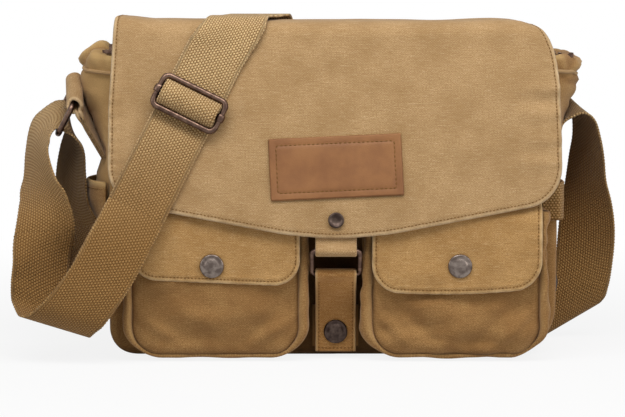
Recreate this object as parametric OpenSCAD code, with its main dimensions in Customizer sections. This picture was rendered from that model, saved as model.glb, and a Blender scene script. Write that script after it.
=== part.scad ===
// Canvas messenger bag with a full front flap, two snap pockets and a webbing shoulder strap.
// Millimetres. The base rests on z = 0, the front faces -Y, and x = 0 is the middle of the bag.

/* [Body] */
// Width between the side seams
body_w = 306; // [290:1:330]
// Depth over the front and back panels
body_d = 76; // [70:1:86]
// Height of the mouth
body_h = 206; // [198:1:208]
// Height of the back panel, where the flap is sewn on
back_h = 216; // [212:1:219]
// Thickness of the doubled canvas
cloth = 2.4; // [1.8:0.1:3]
// Radius of the lower corners
corner_r = 17; // [12:1:24]
// How far each side flares out at the mouth
ear = 12; // [6:1:16]
// Height at which the sides start to flare
ear_z = 120; // [110:1:130]
// Swell of the left side panel between its seams
left_swell = 10; // [2:1:12]
// Swell of the right side panel between its seams
right_swell = 3; // [1:1:6]
// Thickness of the lining
lining_t = 0.8; // [0.5:0.1:1.2]

/* [Flap] */
// Greatest width of the flap
flap_w = 300; // [284:1:312]
// How much narrower the flap is along its top
flap_taper = 12; // [4:1:20]
// Height of the flap's top face
flap_top = 227; // [225:1:232]
// Height of the hem at the middle
hem_z = 85; // [82:1:90]
// Half width of the level stretch of the hem
hem_flat = 22; // [18:1:26]
// Rise of the hem towards the sides, in degrees
hem_slope = 10.5; // [7:0.5:12]
// Radius of the flap's lower corners
hem_r = 26; // [16:1:32]
// Bend radius over the front top edge
flap_bend = 12; // [8:1:14]
// Forward lean of the flap's front, in degrees
flap_lean = 11.5; // [11:0.5:13]
// Width of the leather patch
patch_w = 86; // [60:1:100]
// Height of the leather patch
patch_h = 39.5; // [25:0.5:44]
// Thickness of the leather patch
patch_t = 1.8; // [1.2:0.1:2.5]
// Height of the patch's middle
patch_z = 130; // [126:1:140]
// Tilt of the patch, in degrees
patch_tilt = 2.7; // [0:0.1:4]

/* [Pockets] */
// Distance of each pocket's middle from the middle of the bag
pocket_x = 80; // [78:1:86]
// Width of a pocket
pocket_w = 116; // [100:1:118]
// Depth of a pocket
pocket_d = 25; // [20:1:28]
// Height of a pocket's bottom edge
pocket_z = 3; // [2:0.5:8]
// Height of a pocket's front edge
pocket_mouth = 76; // [73:1:78]
// Height of a pocket's side walls
pocket_side_h = 100; // [90:1:102]
// Radius of a pocket's lower corners
pocket_r = 20; // [12:1:30]
// Thickness of the pocket canvas
pocket_t = 2; // [1.4:0.1:2.6]
// Width of a pocket flap
pflap_w = 114; // [100:1:116]
// Height of a pocket flap's lower edge
pflap_z = 50; // [44:1:54]
// Radius of a pocket flap's lower corners
pflap_r = 16; // [8:1:24]
// How far a pocket flap's crease lies under the hem of the main flap
crease_drop = 4; // [3.5:0.5:6]
// Height of the pocket snaps
snap_z = 65; // [63:0.5:66]

/* [Closure] */
// Width of the closing tab and strap
closure_w = 27; // [20:0.5:28]
// Thickness of the folded tab and strap
closure_t = 3; // [2.4:0.1:3.6]
// How far the ring's upper bar hangs below the hem
tab_drop = 9; // [8:0.5:12]
// Wire of the closing ring
cring_wire = 3.5; // [2.5:0.1:4]
// Distance between the bars of the closing ring
cring_drop = 19; // [15:0.5:22]
// Height of the snap on the closing strap
csnap_z = 18; // [15:0.5:22]
// Height of the closing strap's end
closure_end = 5; // [3:0.5:7]

/* [Snaps and rivet] */
// Diameter of a snap cap
snap_d = 16; // [12:0.5:18]
// Height of a snap cap
cap_h = 2.8; // [2:0.1:4]
// Diameter of a snap socket
socket_d = 11; // [9:0.5:12]
// Height of a snap socket
socket_h = 2.6; // [2:0.1:3.2]
// Diameter of a snap stud
stud_d = 5; // [3.5:0.1:6]
// Diameter of the posts that pass through the canvas
post_d = 4; // [3:0.1:5]
// Diameter of the rivet on the flap
rivet_d = 10.5; // [8:0.5:12]

/* [Strap] */
// Width of the webbing
strap_w = 38; // [32:1:40]
// Thickness of the webbing
strap_t = 1.5; // [1.2:0.1:1.6]
// Wire of the strap ring and the slide buckle
wire = 4; // [3:0.1:4.2]
// Distance between the bars of the strap ring
ring_drop = 23.5; // [20:0.5:28]
// Height at which the ring tab is sewn on
ring_root = 141; // [138:1:146]
// Thickness of the folded ring tab
ring_tab_t = 5; // [4:0.2:5.6]
// Sideways tilt of the ring tab, in degrees
ring_tilt = 25; // [15:1:30]
// Distance between the outer bars of the slide buckle
buckle_drop = 22; // [20:0.5:24]
// Height of the slide buckle's middle
buckle_z = 171; // [165:1:178]
// Height of the webbing loop on the right side
side_loop_h = 18; // [12:1:24]

/* [Zip] */
// Visible width of a zip tape
tape_w = 17; // [14:0.5:20]
// Thickness of a zip tape
tape_t = 1; // [0.8:0.1:1.2]
// Size of a tooth across the tape
tooth = 3; // [2.4:0.1:3.6]
// Spacing of the teeth
tooth_pitch = 4; // [3.6:0.2:6]
// Length of the zip slider
zslider_l = 13; // [10:0.5:16]
// Length of the zip pull
pull_l = 16; // [12:0.5:16]

/* [Fits] */
// Gap between layers that are sewn together
seam = 0.3; // [0.2:0.05:0.5]
// Clearance round wires, posts and pins
fit = 0.2; // [0.1:0.05:0.3]

/* [Hidden] */
$fn = 48;

canvas = "#b4945f";
webbing = "#a5845a";
leather = "#8f6442";
metal = "#5b4a3c";
cotton = "#6b5334";

// Small vector tools
function unit(v) = v / norm(v);
function mix(a, b, t) = a + (b - a) * t;
function smooth(t) = let (c = min(1, max(0, t))) c * c * (3 - 2 * c);
function mirrored(p) = [for (i = [len(p) - 1:-1:0]) [-p[i][0], p[i][1]]];
function arc(c, r, from, to, n = 6) = [for (i = [0:n])
    let (a = mix(from, to, i / n)) c + r * [cos(a), sin(a)]];
function turn_at(p, i) = let (
    a = unit(p[max(1, i)] - p[max(1, i) - 1]),
    b = unit(p[min(len(p) - 1, i + 1)] - p[min(len(p) - 1, i + 1) - 1]),
    m = unit(a + b)) [-m[1], m[0]] / (m * a);
// Outline of a strip of thickness t along a centre line
function strip(p, t) = concat([for (i = [0:len(p) - 1]) p[i] + turn_at(p, i) * t / 2],
    [for (i = [len(p) - 1:-1:0]) p[i] - turn_at(p, i) * t / 2]);

// A front view outline [x, z], extruded back from y
module front_view(y, depth) translate([0, y + depth, 0]) rotate([90, 0, 0]) linear_extrude(depth) children();
// A side view outline [y, z], extruded across the width w and centred on x
module side_view(w, x = 0) translate([x - w / 2, 0, 0]) rotate([90, 0, 90]) linear_extrude(w) children();
// A cylinder along X through the side view point p
module bar_x(p, d, w, x = 0) translate([x - w / 2, p[0], p[1]]) rotate([0, 90, 0]) cylinder(d = d, h = w);
// Turns something that points up so that it points to the front
module facing_front(x, y, z) translate([x, y, z]) rotate([90, 0, 0]) children();
module on_side(side) mirror([side < 0 ? 1 : 0, 0, 0]) children();
// A closed sheet between two grids of points
module sheet(outer, inner) {
    nv = len(outer);
    nu = len(outer[0]);
    n = nu * nv;
    quads = [for (j = [0:nv - 2], i = [0:nu - 2]) let (a = j * nu + i) [a, a + nu, a + nu + 1, a + 1]];
    rim = concat([for (i = [0:nu - 2]) [i, i + 1]],
        [for (j = [0:nv - 2]) [j * nu + nu - 1, (j + 1) * nu + nu - 1]],
        [for (i = [nu - 1:-1:1]) [n - nu + i, n - nu + i - 1]],
        [for (j = [nv - 1:-1:1]) [j * nu, (j - 1) * nu]]);
    polyhedron(
        points = concat([for (row = outer, p = row) p], [for (row = inner, p = row) p]),
        faces = concat(
            [for (q = quads) each [[q[0], q[1], q[2]], [q[0], q[2], q[3]]]],
            [for (q = quads) each [[q[2] + n, q[1] + n, q[0] + n], [q[3] + n, q[2] + n, q[0] + n]]],
            [for (e = rim) each [[e[0], e[1], e[1] + n], [e[0], e[1] + n, e[0] + n]]]));
}
// A bent wire frame: upper bar along X through the origin, lower bar at z = -drop
module wire_loop(span, drop, d, bend) {
    for (s = [-1, 1]) {
        translate([s * span / 2, 0, -drop + bend]) cylinder(d = d, h = drop - 2 * bend);
        translate([-span / 2 + bend, 0, (s - 1) * drop / 2]) rotate([0, 90, 0])
            cylinder(d = d, h = span - 2 * bend);
        for (up = [0, 1])
            translate([s * (span / 2 - bend), 0, up ? -bend : bend - drop])
                rotate([90, 0, 0]) rotate([0, 0, 90 * (up ? (s > 0 ? 0 : 1) : (s > 0 ? 3 : 2))])
                    rotate_extrude(angle = 90) translate([bend, 0]) circle(d = d);
    }
}

// Shape of the body, seen from the front
function ear_w(z) = body_w / 2 + ear * pow(max(0, z - ear_z) / (body_h - ear_z), 2);
function side_heights(top) = [for (i = [0:5]) mix(ear_z, top, i / 5)];
function right_edge(inset, top) = concat(
    arc([body_w / 2 - corner_r, corner_r], corner_r - inset, -90, 0),
    [for (z = side_heights(top)) [ear_w(z) - inset, z]]);
function body_outline(inset, top) = concat(right_edge(inset, top), mirrored(right_edge(inset, top)));
inner_d = body_d / 2 - cloth - seam;
function gusset_x(swell, y, z) = ear_w(z) + swell * (1 - pow(y / inner_d, 2)) * smooth((z - 60) / 80);

// The flap in side view [y, z]: rear hinge, level top, bend, leaning front
bead_r = cloth / 2 + seam;
hinge = [body_d / 2 - cloth / 2, back_h + seam + bead_r];
top_mid = flap_top - cloth / 2;
bend_c = [2 - body_d / 2, top_mid - flap_bend];
front_n = [-cos(flap_lean), sin(flap_lean)];
front_d = [-sin(flap_lean), -cos(flap_lean)];
face = bend_c + (flap_bend + cloth / 2) * front_n;
hem_cut = 12;
front_l = (face[1] - hem_z + hem_cut) / cos(flap_lean);
flap_line = concat(
    [hinge, [hinge[0] - 6, mix(hinge[1], top_mid, 0.7)], [hinge[0] - 14, top_mid]],
    arc(bend_c, flap_bend, 90, 180 - flap_lean),
    [bend_c + flap_bend * front_n + front_l * front_d]);
function hem(x) = hem_z + max(0, abs(x) - hem_flat) * tan(hem_slope);
hem_c = [flap_w / 2 - hem_r, hem(flap_w / 2 - hem_r) + hem_r / cos(hem_slope)];
flap_half = concat([[hem_flat, hem_z]], arc(hem_c, hem_r, hem_slope - 90, 0),
    [[(flap_w - flap_taper) / 2, flap_top + cloth]]);
// A point n in front of the flap's outer face, and a frame there whose z points out of the face
function face_y(z) = face[0] - (face[1] - z) * tan(flap_lean);
function flap_point(x, z, n) = [x, face_y(z) - n * cos(flap_lean), z + n * sin(flap_lean)];
module on_flap(x, z, n = 0) translate(flap_point(x, z, n)) rotate([90 - flap_lean, 0, 0]) children();

// Snap sizes: the flange of the stud, the air between the halves and the gap that they hold open
flange_h = 0.8;
snap_air = 0.6;
snap_stand = socket_h + flange_h + snap_air;
socket_floor = 0.6;

// Closing tab, ring and strap in side view
hem_face = [face_y(hem_z), hem_z];
tab_n = -(cloth + seam + closure_t / 2);
ring_pin = hem_face + tab_drop * front_d + tab_n * front_n;
tab_top = 26;
rivet_up = 11;
stud_patch_y = -body_d / 2 - seam - cloth;
closure_y = stud_patch_y - snap_stand - closure_t / 2;
flat_end = [closure_y, csnap_z + snap_d / 2 + 0.5];
knee = [closure_y, flat_end[1] + 6];
ring_dir = unit(knee - ring_pin);
strap_pin = ring_pin + cring_drop * ring_dir;
loop_d = cring_wire + 2 * fit + closure_t;
cring_span = closure_w + 1.2 + cring_wire;
cring_bend = (cring_span - closure_w) / 2;

// Pocket planes
pocket_face = -body_d / 2 - pocket_d;
pflap_y = pocket_face - snap_stand - pocket_t;
crease_r = pocket_t / 2 + fit;
function crease(x) = hem(x) - crease_drop;
snap_x = pocket_x + 2;
strip_rise = 16;
strip_top = pocket_side_h + strip_rise;
sewn_l = 8;
strip_step = 9;
strip_run = 14;

// Ring tab and strap ring, in the tilted frame of the tab [x, height above the root]
ring_root_y = 4;
tab_sewn = 9;
tab_reach = 10;
tab_l = 39;
tab_foot = gusset_x(left_swell, ring_root_y, ring_root + tab_sewn) + seam + ring_tab_t / 2;
ring_pivot = [-tab_foot - tab_reach, tab_l];
ring_slant = 27;
ring_bend = 4;
ring_loop_d = wire + 2 * fit + ring_tab_t;
module at_ring_tab() translate([0, ring_root_y, ring_root]) rotate([ring_tilt, 0, 0]) children();

// Slide buckle on the strap
strap_lean = 26.3;
buckle_x = -96.5;
layer = strap_t + seam;
buckle_n = 2 * seam + 2 * layer + wire / 2;
buckle_room = 3;
buckle_span = strap_w + buckle_room + wire;
buckle_loop_d = wire + 2 * fit + 2 * strap_t;
tail_l = 12;
module at_buckle() on_flap(buckle_x, buckle_z, buckle_n) rotate([0, 0, -strap_lean]) children();

// Zip planes: the front chain is straight, the back chain closes in on it at the left end
zip_drop = 4;
zip_z = body_h - zip_drop;
zip_l = ear_w(zip_z) - cloth - seam;
front_chain = -inner_d + tape_w + seam;
chain_z = zip_z + tape_t / 2;
zip_run = 70;
back_meet = front_chain + 2 * tooth + 2 * seam;
function back_edge(x) = mix(back_meet, inner_d - tape_w, smooth((x + zip_l) / zip_run));
function back_slope(x) = atan((back_edge(x + 1) - back_edge(x - 1)) / 2);
stop_l = 3;
zslider_x = -zip_l + stop_l + 2 * seam + zslider_l / 2;
zplate = 1.4;
zgap = tooth / 2 + 0.4;
pin_d = 1.6;
pull_t = 1.4;
pull_w = 4.8;
pull_end = 6;
pin_z = chain_z + zgap + zplate + pin_d / 2 + 1.6;
pull_y = front_chain + tooth / 2;

// Route of the webbing as [point, width direction], in the order in which it is threaded
flat_w = [cos(strap_lean), -sin(strap_lean) * sin(flap_lean), -sin(strap_lean) * cos(flap_lean)];
function on_strap(d, n) = let (z = buckle_z + d * cos(strap_lean)) [
    flap_point(buckle_x + d * sin(strap_lean), z, n), flat_w];
low_n = seam + strap_t / 2;
high_n = low_n + layer;
hump_n = buckle_n + buckle_loop_d / 2 + seam + strap_t / 2;
hem_run = -78;
cut_gap = 0.8;
back_w = [0.95, 0, 0.31];
anchor_z = 134;
function on_right(z) = gusset_x(right_swell, 0, z) + seam + strap_t / 2;
over_top = flap_top + seam + strap_t / 2;
bend_out = flap_bend + cloth / 2 + seam + strap_t / 2 + 0.3;
back_off = body_d / 2 + seam + strap_t / 2;

// The crease direction of the fold behind the right side
fold_up = [0.7, 0, 0.71];
// Points beside the bag, d away from its side seams
function right_of(d, y, z) = [body_w / 2 + d, y, z];
function left_of(d, y, z) = [-body_w / 2 - d, y, z];
right_route = [
    [[on_right(anchor_z), 0, anchor_z], [0, -1, 0]], [[on_right(146) + 0.6, 0, 146], [0, -1, 0]],
    [right_of(10, 0, 161), [0, -1, 0]], [right_of(15.5, 0, 166.5), [0, -1, 0]],
    [right_of(18.5, 1, 157), [0.29, -0.95, 0]], [right_of(19.9, 4, 143), [0.42, -0.9, 0.03]],
    [right_of(20.3, 7, 132), [0.52, -0.85, 0.05]], [right_of(21.2, 11, 114.5), [0.68, -0.72, 0.05]],
    [right_of(22.3, 15, 100), [0.81, -0.58, 0.05]], [right_of(23.6, 19, 85.5), [0.9, -0.42, 0.06]],
    [right_of(24.6, 23, 71), [0.97, -0.22, 0.08]], [right_of(25.5, 27, 55), [0.93, -0.05, 0.35]],
    [right_of(25.5, 30, 40), [0.76, 0, 0.63]], [right_of(23, 36, 28), fold_up],
    [right_of(13.5, 42, 24.5), fold_up], [right_of(-6, 46, 31), fold_up],
    [right_of(-31, back_off + 9, 51), fold_up], [[85, back_off + 7.5, 92], fold_up],
    [[40, back_off + 5, 139], fold_up], [[0, back_off + 3, 180], fold_up],
    [[-29, back_off + 1.6, 205], [0.78, -0.03, 0.62]],
    [[-46.6, back_off + 1.6, back_h - cut_gap], back_w]];
across = [1, 0, 0];
bar_at = buckle_drop / 2;
top_route = [
    [[-47, back_off + 1.6, back_h], back_w], [[-49, hinge[0] + 2.4, over_top - 4], across],
    [[-51, hinge[0] - 5, over_top + 0.4], across], [[-54, hinge[0] - 15, over_top + 0.6], across],
    [[-59, 0, over_top + 0.2], across], [[-64.5, bend_c[0], bend_c[1] + bend_out + 0.2], across],
    [[-67.5, bend_c[0] - bend_out * 0.73, bend_c[1] + bend_out * 0.73], across],
    [flap_point(-72, face[1], low_n + 0.6), across],
    on_strap(36, low_n + 0.2), on_strap(bar_at + 8, low_n), on_strap(bar_at, low_n),
    on_strap(bar_at - 2.5, buckle_n - 2.4), on_strap(bar_at - 4.3, buckle_n + 0.3),
    on_strap(bar_at - 6.5, buckle_n + 3.3), on_strap(0, hump_n),
    on_strap(6.5 - bar_at, buckle_n + 3.3), on_strap(4.3 - bar_at, buckle_n + 0.3),
    on_strap(2.5 - bar_at, buckle_n - 2.4), on_strap(-bar_at, high_n), on_strap(-bar_at - 3, high_n),
    on_strap(-40, high_n), on_strap(-60, high_n), on_strap(hem_run, high_n)];
under_route = [for (d = [-tail_l - seam, -22, -40, -60, hem_run]) on_strap(d, low_n)];
// The crease direction of the fold under the left end, and of the strap above it
fold_w = [0.956, 0, -0.293];
hang_w = [0.9, 0, -0.44];
// The ring bar that the webbing passes over is its highest place on the left
left_route = [
    on_strap(hem_run - cut_gap, high_n), [[-141, -81, 83], hang_w], [left_of(-0.5, -83.5, 62), hang_w],
    [left_of(12, -84, 44), fold_w], [left_of(23, -80.5, 31.5), fold_w], [left_of(33, -70, 25), fold_w],
    [left_of(40.5, -57, 33), fold_w], [left_of(44.5, -50, 49), [0.93, 0.3, -0.2]],
    [left_of(44, -46, 68), [0.9, 0.42, 0]], [left_of(42, -41, 90), [0.97, -0.1, 0.03]],
    [left_of(43.5, -34, 105), [0.84, -0.54, 0.05]], [left_of(47, -26, 118), [0.62, -0.78, 0.05]],
    [left_of(49.6, -19.5, 134), [0.48, -0.87, 0]], [left_of(49, -15, 146), [0.4, -0.9, -0.15]],
    [left_of(45, -8.5, 157), [0.25, -0.91, -0.33]], [left_of(37.5, -6.7, 164.5), [0.05, -0.91, -0.42]],
    [left_of(30, -6.2, 163), [0.05, -0.91, -0.42]], [left_of(26.5, -4.5, 152), [0.25, -0.95, -0.2]],
    [left_of(27.5, -5, 137), [0.5, -0.86, 0]], [left_of(28.5, -5, 119), [0.6, -0.8, 0.05]],
    [left_of(27, -11, 97), [0.66, -0.75, 0.05]], [left_of(20, -29, 76), [0.82, -0.45, 0.35]],
    [left_of(7, -49, 60), [0.8, -0.1, 0.55]], [left_of(6.5, -64, 52), [0.94, 0, 0.25]],
    [left_of(5, -74, 52), [0.97, 0, -0.15]], [left_of(-0.5, -79.8, 63.5), hang_w],
    [[-141, -78.6, 84.5], hang_w], on_strap(hem_run - cut_gap, low_n)];

// Sweeps a flat band along a route, with a smooth curve through its points
function curve(a, b, c, d, t) =
    b + 0.5 * t * (c - a + t * (2 * a - 5 * b + 4 * c - d + t * (3 * (b - c) + d - a)));
function route_at(r, i, k, t) = let (n = len(r) - 1)
    curve(r[max(0, i - 1)][k], r[i][k], r[min(n, i + 1)][k], r[min(n, i + 2)][k], t);
function band_frame(r, i, t) = let (
    p = route_at(r, i, 0, t),
    along = unit(route_at(r, i, 0, t + 0.01) - route_at(r, i, 0, t - 0.01)),
    w = unit(route_at(r, i, 1, t)),
    wide = norm(cross(along, w))) [p, w / wide, cross(along, w) / wide];
function band_ring(f) = [for (s = [[1, 1], [-1, 1], [-1, -1], [1, -1]])
    f[0] + s[0] * f[1] * strap_w / 2 + s[1] * f[2] * strap_t / 2];
module band(route, steps = 2) {
    last = len(route) - 2;
    rings = concat([for (i = [0:last], k = [0:steps - 1]) band_ring(band_frame(route, i, k / steps))],
        [band_ring(band_frame(route, last, 1))]);
    end = 4 * (len(rings) - 1);
    polyhedron(
        points = [for (r = rings, p = r) p],
        faces = concat([[0, 1, 2, 3]], [[end + 3, end + 2, end + 1, end]],
            [for (j = [0:len(rings) - 2], c = [0:3]) let (a = 4 * j + c, b = 4 * j + (c + 1) % 4)
                each [[a, a + 4, b + 4], [a, b + 4, b]]]));
}

// Body panels
module front_panel() color(canvas) front_view(-body_d / 2, cloth) polygon(body_outline(0, body_h));
module back_panel() color(canvas) front_view(body_d / 2 - cloth, cloth) polygon(concat(
    right_edge(0, body_h), [[(flap_w - flap_taper) / 2, back_h]],
    mirrored(concat(right_edge(0, body_h), [[(flap_w - flap_taper) / 2, back_h]]))));
function gusset_grid(swell, in) = let (z0 = corner_r + seam, n = 8) [for (j = [0:n]) [for (i = [0:n])
    let (y = mix(-inner_d, inner_d, i / n), z = mix(z0, body_h, j / n)) [gusset_x(swell, y, z) - in, y, z]]];
module gusset(side, swell) color(canvas) on_side(side)
    sheet(gusset_grid(swell, 0), gusset_grid(swell, cloth));
module left_gusset() gusset(-1, left_swell);
module right_gusset() gusset(1, right_swell);
bottom_half = concat(arc([body_w / 2 - corner_r, corner_r], corner_r, -90, 0),
    arc([body_w / 2 - corner_r, corner_r], corner_r - cloth, 0, -90));
module bottom_panel() color(canvas) front_view(-inner_d, 2 * inner_d)
    polygon(concat(bottom_half, mirrored(bottom_half)));
lining_top = zip_z - tooth;
module lining() color(cotton) difference() {
    front_view(-inner_d, 2 * inner_d) polygon(body_outline(cloth + seam, lining_top));
    front_view(lining_t - inner_d, 2 * (inner_d - lining_t)) intersection() {
        polygon(body_outline(cloth + seam + lining_t, lining_top + 1));
        translate([-body_w, cloth + seam + lining_t]) square([2 * body_w, 2 * body_h]);
    }
}

// Zip
module zip_tape_front() color(cotton) translate([-zip_l, -inner_d, zip_z]) cube([2 * zip_l, tape_w, tape_t]);
tape_steps = [for (i = [0:12]) -zip_l + i / 12 * zip_run];
module zip_tape_back() color(cotton) translate([0, 0, zip_z]) linear_extrude(tape_t) polygon(concat(
    [for (x = tape_steps) [x, back_edge(x)]],
    [[zip_l, back_edge(zip_l)], [zip_l, inner_d], [-zip_l, inner_d]]));
teeth_from = -zip_l + stop_l + seam;
teeth_to = zip_l - stop_l - seam;
function tooth_at(i) = teeth_from + tooth_pitch * (i + 0.5);
tooth_count = floor((teeth_to - teeth_from) / tooth_pitch);
core = tooth * 0.4;
module zip_teeth_front() color(metal) {
    translate([teeth_from, front_chain, chain_z - core / 2]) cube([teeth_to - teeth_from, core, core]);
    for (i = [0:tooth_count - 1])
        translate([tooth_at(i) - tooth_pitch / 4, front_chain, chain_z - tooth / 2])
            cube([tooth_pitch / 2, tooth, tooth]);
}
module zip_teeth_back() color(metal) {
    run = concat([teeth_from], [for (x = tape_steps) if (x > teeth_from) x], [teeth_to]);
    translate([0, 0, chain_z - core / 2]) linear_extrude(core) polygon(concat(
        [for (x = run) [x, back_edge(x) - seam]],
        [for (i = [len(run) - 1:-1:0]) [run[i], back_edge(run[i]) - seam - core]]));
    for (i = [0:tooth_count - 1])
        translate([tooth_at(i), back_edge(tooth_at(i)) - seam, chain_z])
            rotate([0, 0, back_slope(tooth_at(i))]) translate([-tooth_pitch / 4, -tooth, -tooth / 2])
                cube([tooth_pitch / 2, tooth - seam, tooth]);
}
module zip_stops() color(metal) {
    translate([-zip_l, front_chain, chain_z - tooth / 2]) cube([stop_l, 2 * tooth + seam, tooth]);
    translate([zip_l - stop_l, front_chain, chain_z - tooth / 2]) cube([stop_l, tooth, tooth]);
    translate([zip_l - stop_l, back_edge(zip_l) - seam - tooth, chain_z - tooth / 2])
        cube([stop_l, tooth, tooth]);
}
module zip_slider() color(metal) translate([zslider_x, pull_y, chain_z]) {
    lug = 1.2;
    lug_l = 3.6;
    lug_y = 3.4;
    lug_h = pin_z - chain_z - zgap - zplate / 2 + pin_d;
    flange = 1.6;
    side = tooth / 2 + fit;
    deep = 2 * tooth + 1;
    lip = zgap - tape_t / 2 - 0.4;
    for (s = [-1, 1]) {
        translate([-zslider_l / 2, -side - flange, s > 0 ? zgap : -zgap - zplate])
            cube([zslider_l, flange + side + deep - tooth / 2, zplate]);
        translate([-zslider_l / 2, -side - flange, s > 0 ? zgap - lip : -zgap])
            cube([zslider_l, flange, lip]);
        translate([-lug_l / 2, s * lug_y - lug / 2, zgap + zplate / 2]) cube([lug_l, lug, lug_h]);
    }
    translate([zslider_l / 2 - 2, tooth / 2 + fit, -zgap - zplate / 2]) cube([2, 1, 2 * zgap + zplate]);
    translate([0, -lug_y, pin_z - chain_z]) rotate([-90, 0, 0]) cylinder(d = pin_d, h = 2 * lug_y);
}
module zip_pull() color(metal) translate([zslider_x, pull_y, pin_z]) difference() {
    union() {
        translate([0, -pull_w / 2, -pull_t / 2]) cube([pull_l - pull_end / 2, pull_w, pull_t]);
        translate([pull_l - pull_end / 2, 0, -pull_t / 2]) cylinder(d = pull_end, h = pull_t);
        translate([0, -pull_w / 2, 0]) rotate([-90, 0, 0])
            cylinder(d = pin_d + 2 * fit + pull_t, h = pull_w);
    }
    translate([0, -pull_w, 0]) rotate([-90, 0, 0]) cylinder(d = pin_d + 2 * fit, h = 2 * pull_w);
    translate([pull_l - pull_end / 2, 0, -pull_t]) cylinder(d = pull_end * 0.43, h = 2 * pull_t);
}

// Snap fasteners: the cap with its socket, and the stud with its washer
cap_rim = 0.8;
cap_profile = concat([[0, 0], [snap_d / 2 - cap_rim, 0]],
    [for (a = [0:18:90]) [snap_d / 2 * cos(a), cap_rim + (cap_h - cap_rim) * sin(a)]]);
module snap_cap(t) {
    rotate_extrude() polygon(cap_profile);
    translate([0, 0, -t - 0.1]) cylinder(d = post_d, h = t + 0.2);
    translate([0, 0, -t - socket_h]) difference() {
        cylinder(d = socket_d, h = socket_h);
        translate([0, 0, -1]) cylinder(d = stud_d + 4 * fit, h = socket_h - socket_floor + 1);
    }
}
module snap_stud(t) {
    cylinder(d = socket_d, h = flange_h);
    cylinder(d = stud_d, h = snap_stand - socket_floor - 2 * fit);
    translate([0, 0, -t - flange_h]) cylinder(d = post_d, h = t + flange_h + 0.1);
    translate([0, 0, -t - flange_h]) cylinder(d = socket_d - 1, h = flange_h);
}
module post_hole() cylinder(d = post_d + 2 * fit, h = 40, center = true);

// Pockets, drawn on the right and mirrored to the left
pocket_half = pocket_w / 2;
function pocket_edge(inset, top) = concat(
    arc([pocket_half - pocket_r, pocket_z + pocket_r], pocket_r - inset, -90, 0),
    [[pocket_half - inset, top]]);
function pocket_outline(inset, top) = concat(pocket_edge(inset, top), mirrored(pocket_edge(inset, top)));
module pocket_front(side) color(canvas) on_side(side) difference() {
    translate([pocket_x, 0, 0]) front_view(pocket_face, pocket_t) polygon(pocket_outline(0, pocket_mouth));
    facing_front(snap_x, pocket_face, snap_z) post_hole();
}
module pocket_gusset(side) color(canvas) on_side(side) translate([pocket_x, 0, 0]) {
    inside = pocket_edge(pocket_t, pocket_side_h);
    half = concat(pocket_edge(0, pocket_side_h), [for (i = [len(inside) - 1:-1:0]) inside[i]]);
    front_view(pocket_face + pocket_t + seam, pocket_d - pocket_t - 2 * seam)
        polygon(concat(half, mirrored(half)));
}
module left_pocket_front() pocket_front(-1);
module right_pocket_front() pocket_front(1);
module left_pocket_gusset() pocket_gusset(-1);
module right_pocket_gusset() pocket_gusset(1);

// Pocket flaps: a sewn strip over the pocket, then the part that lifts at a crease under the hem
pflap_in = pocket_x - pflap_w / 2;
pflap_out = pocket_x + pflap_w / 2;
pflap_mid = pflap_y + pocket_t / 2;
module flap_strip(side) color(canvas) on_side(side) intersection() {
    side_view(pflap_w, pocket_x) polygon(strip([
        [-body_d / 2 - seam - pocket_t / 2, strip_top + sewn_l],
        [-body_d / 2 - seam - pocket_t / 2, strip_top], [pocket_face, strip_top - strip_step],
        [pflap_mid, strip_top - strip_run], [pflap_mid, pflap_z]], pocket_t));
    front_view(pflap_y - 1, body_d) polygon([
        [pflap_in - 1, crease(pflap_in - 1) + crease_r + seam],
        [pflap_out + 1, crease(pflap_out + 1) + crease_r + seam],
        [pflap_out + 1, strip_top + 2 * sewn_l], [pflap_in - 1, strip_top + 2 * sewn_l]]);
}
module pocket_flap(side) color(canvas) on_side(side) {
    difference() {
        front_view(pflap_y, pocket_t) polygon(concat(
            arc([pflap_out - pflap_r, pflap_z + pflap_r], pflap_r, -90, 0),
            [[pflap_out, crease(pflap_out)], [pflap_in, crease(pflap_in)]],
            arc([pflap_in + pflap_r, pflap_z + pflap_r], pflap_r, 180, 270)));
        facing_front(snap_x, pflap_y, snap_z) post_hole();
    }
    translate([pflap_in, pflap_mid, crease(pflap_in)]) rotate([0, 90 - hem_slope, 0])
        cylinder(r = crease_r, h = pflap_w / cos(hem_slope));
}
module pocket_cap(side) color(metal) on_side(side) facing_front(snap_x, pflap_y, snap_z) snap_cap(pocket_t);
module pocket_stud(side) color(metal) on_side(side)
    facing_front(snap_x, pocket_face, snap_z) snap_stud(pocket_t);
module left_flap_strip() flap_strip(-1);
module right_flap_strip() flap_strip(1);
module left_pocket_flap() pocket_flap(-1);
module right_pocket_flap() pocket_flap(1);
module left_snap_cap() pocket_cap(-1);
module right_snap_cap() pocket_cap(1);
module left_snap_stud() pocket_stud(-1);
module right_snap_stud() pocket_stud(1);

// Main flap with its patch and closing tab
module at_rivet() on_flap(0, hem_z) translate([0, rivet_up, 0]) children();
module main_flap() color(canvas) {
    difference() {
        intersection() {
            side_view(flap_w + 2) polygon(strip(flap_line, cloth));
            front_view(-body_d - flap_w / 2, 2 * body_d + flap_w / 2)
                polygon(concat(flap_half, mirrored(flap_half)));
        }
        at_rivet() post_hole();
    }
    bar_x(hinge, 2 * bead_r, flap_w - flap_taper - 1);
}
module leather_patch() color(leather) on_flap(0, patch_z, fit) rotate([0, 0, patch_tilt])
    translate([-patch_w / 2, -patch_h / 2, 0]) cube([patch_w, patch_h, patch_t]);
module closure_tab() color(canvas) difference() {
    union() {
        side_view(closure_w)
            polygon(strip([ring_pin - (tab_drop + tab_top) * front_d, ring_pin], closure_t));
        bar_x(ring_pin, loop_d, closure_w);
    }
    bar_x(ring_pin, cring_wire + 2 * fit, closure_w + 2);
    at_rivet() post_hole();
}
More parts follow.
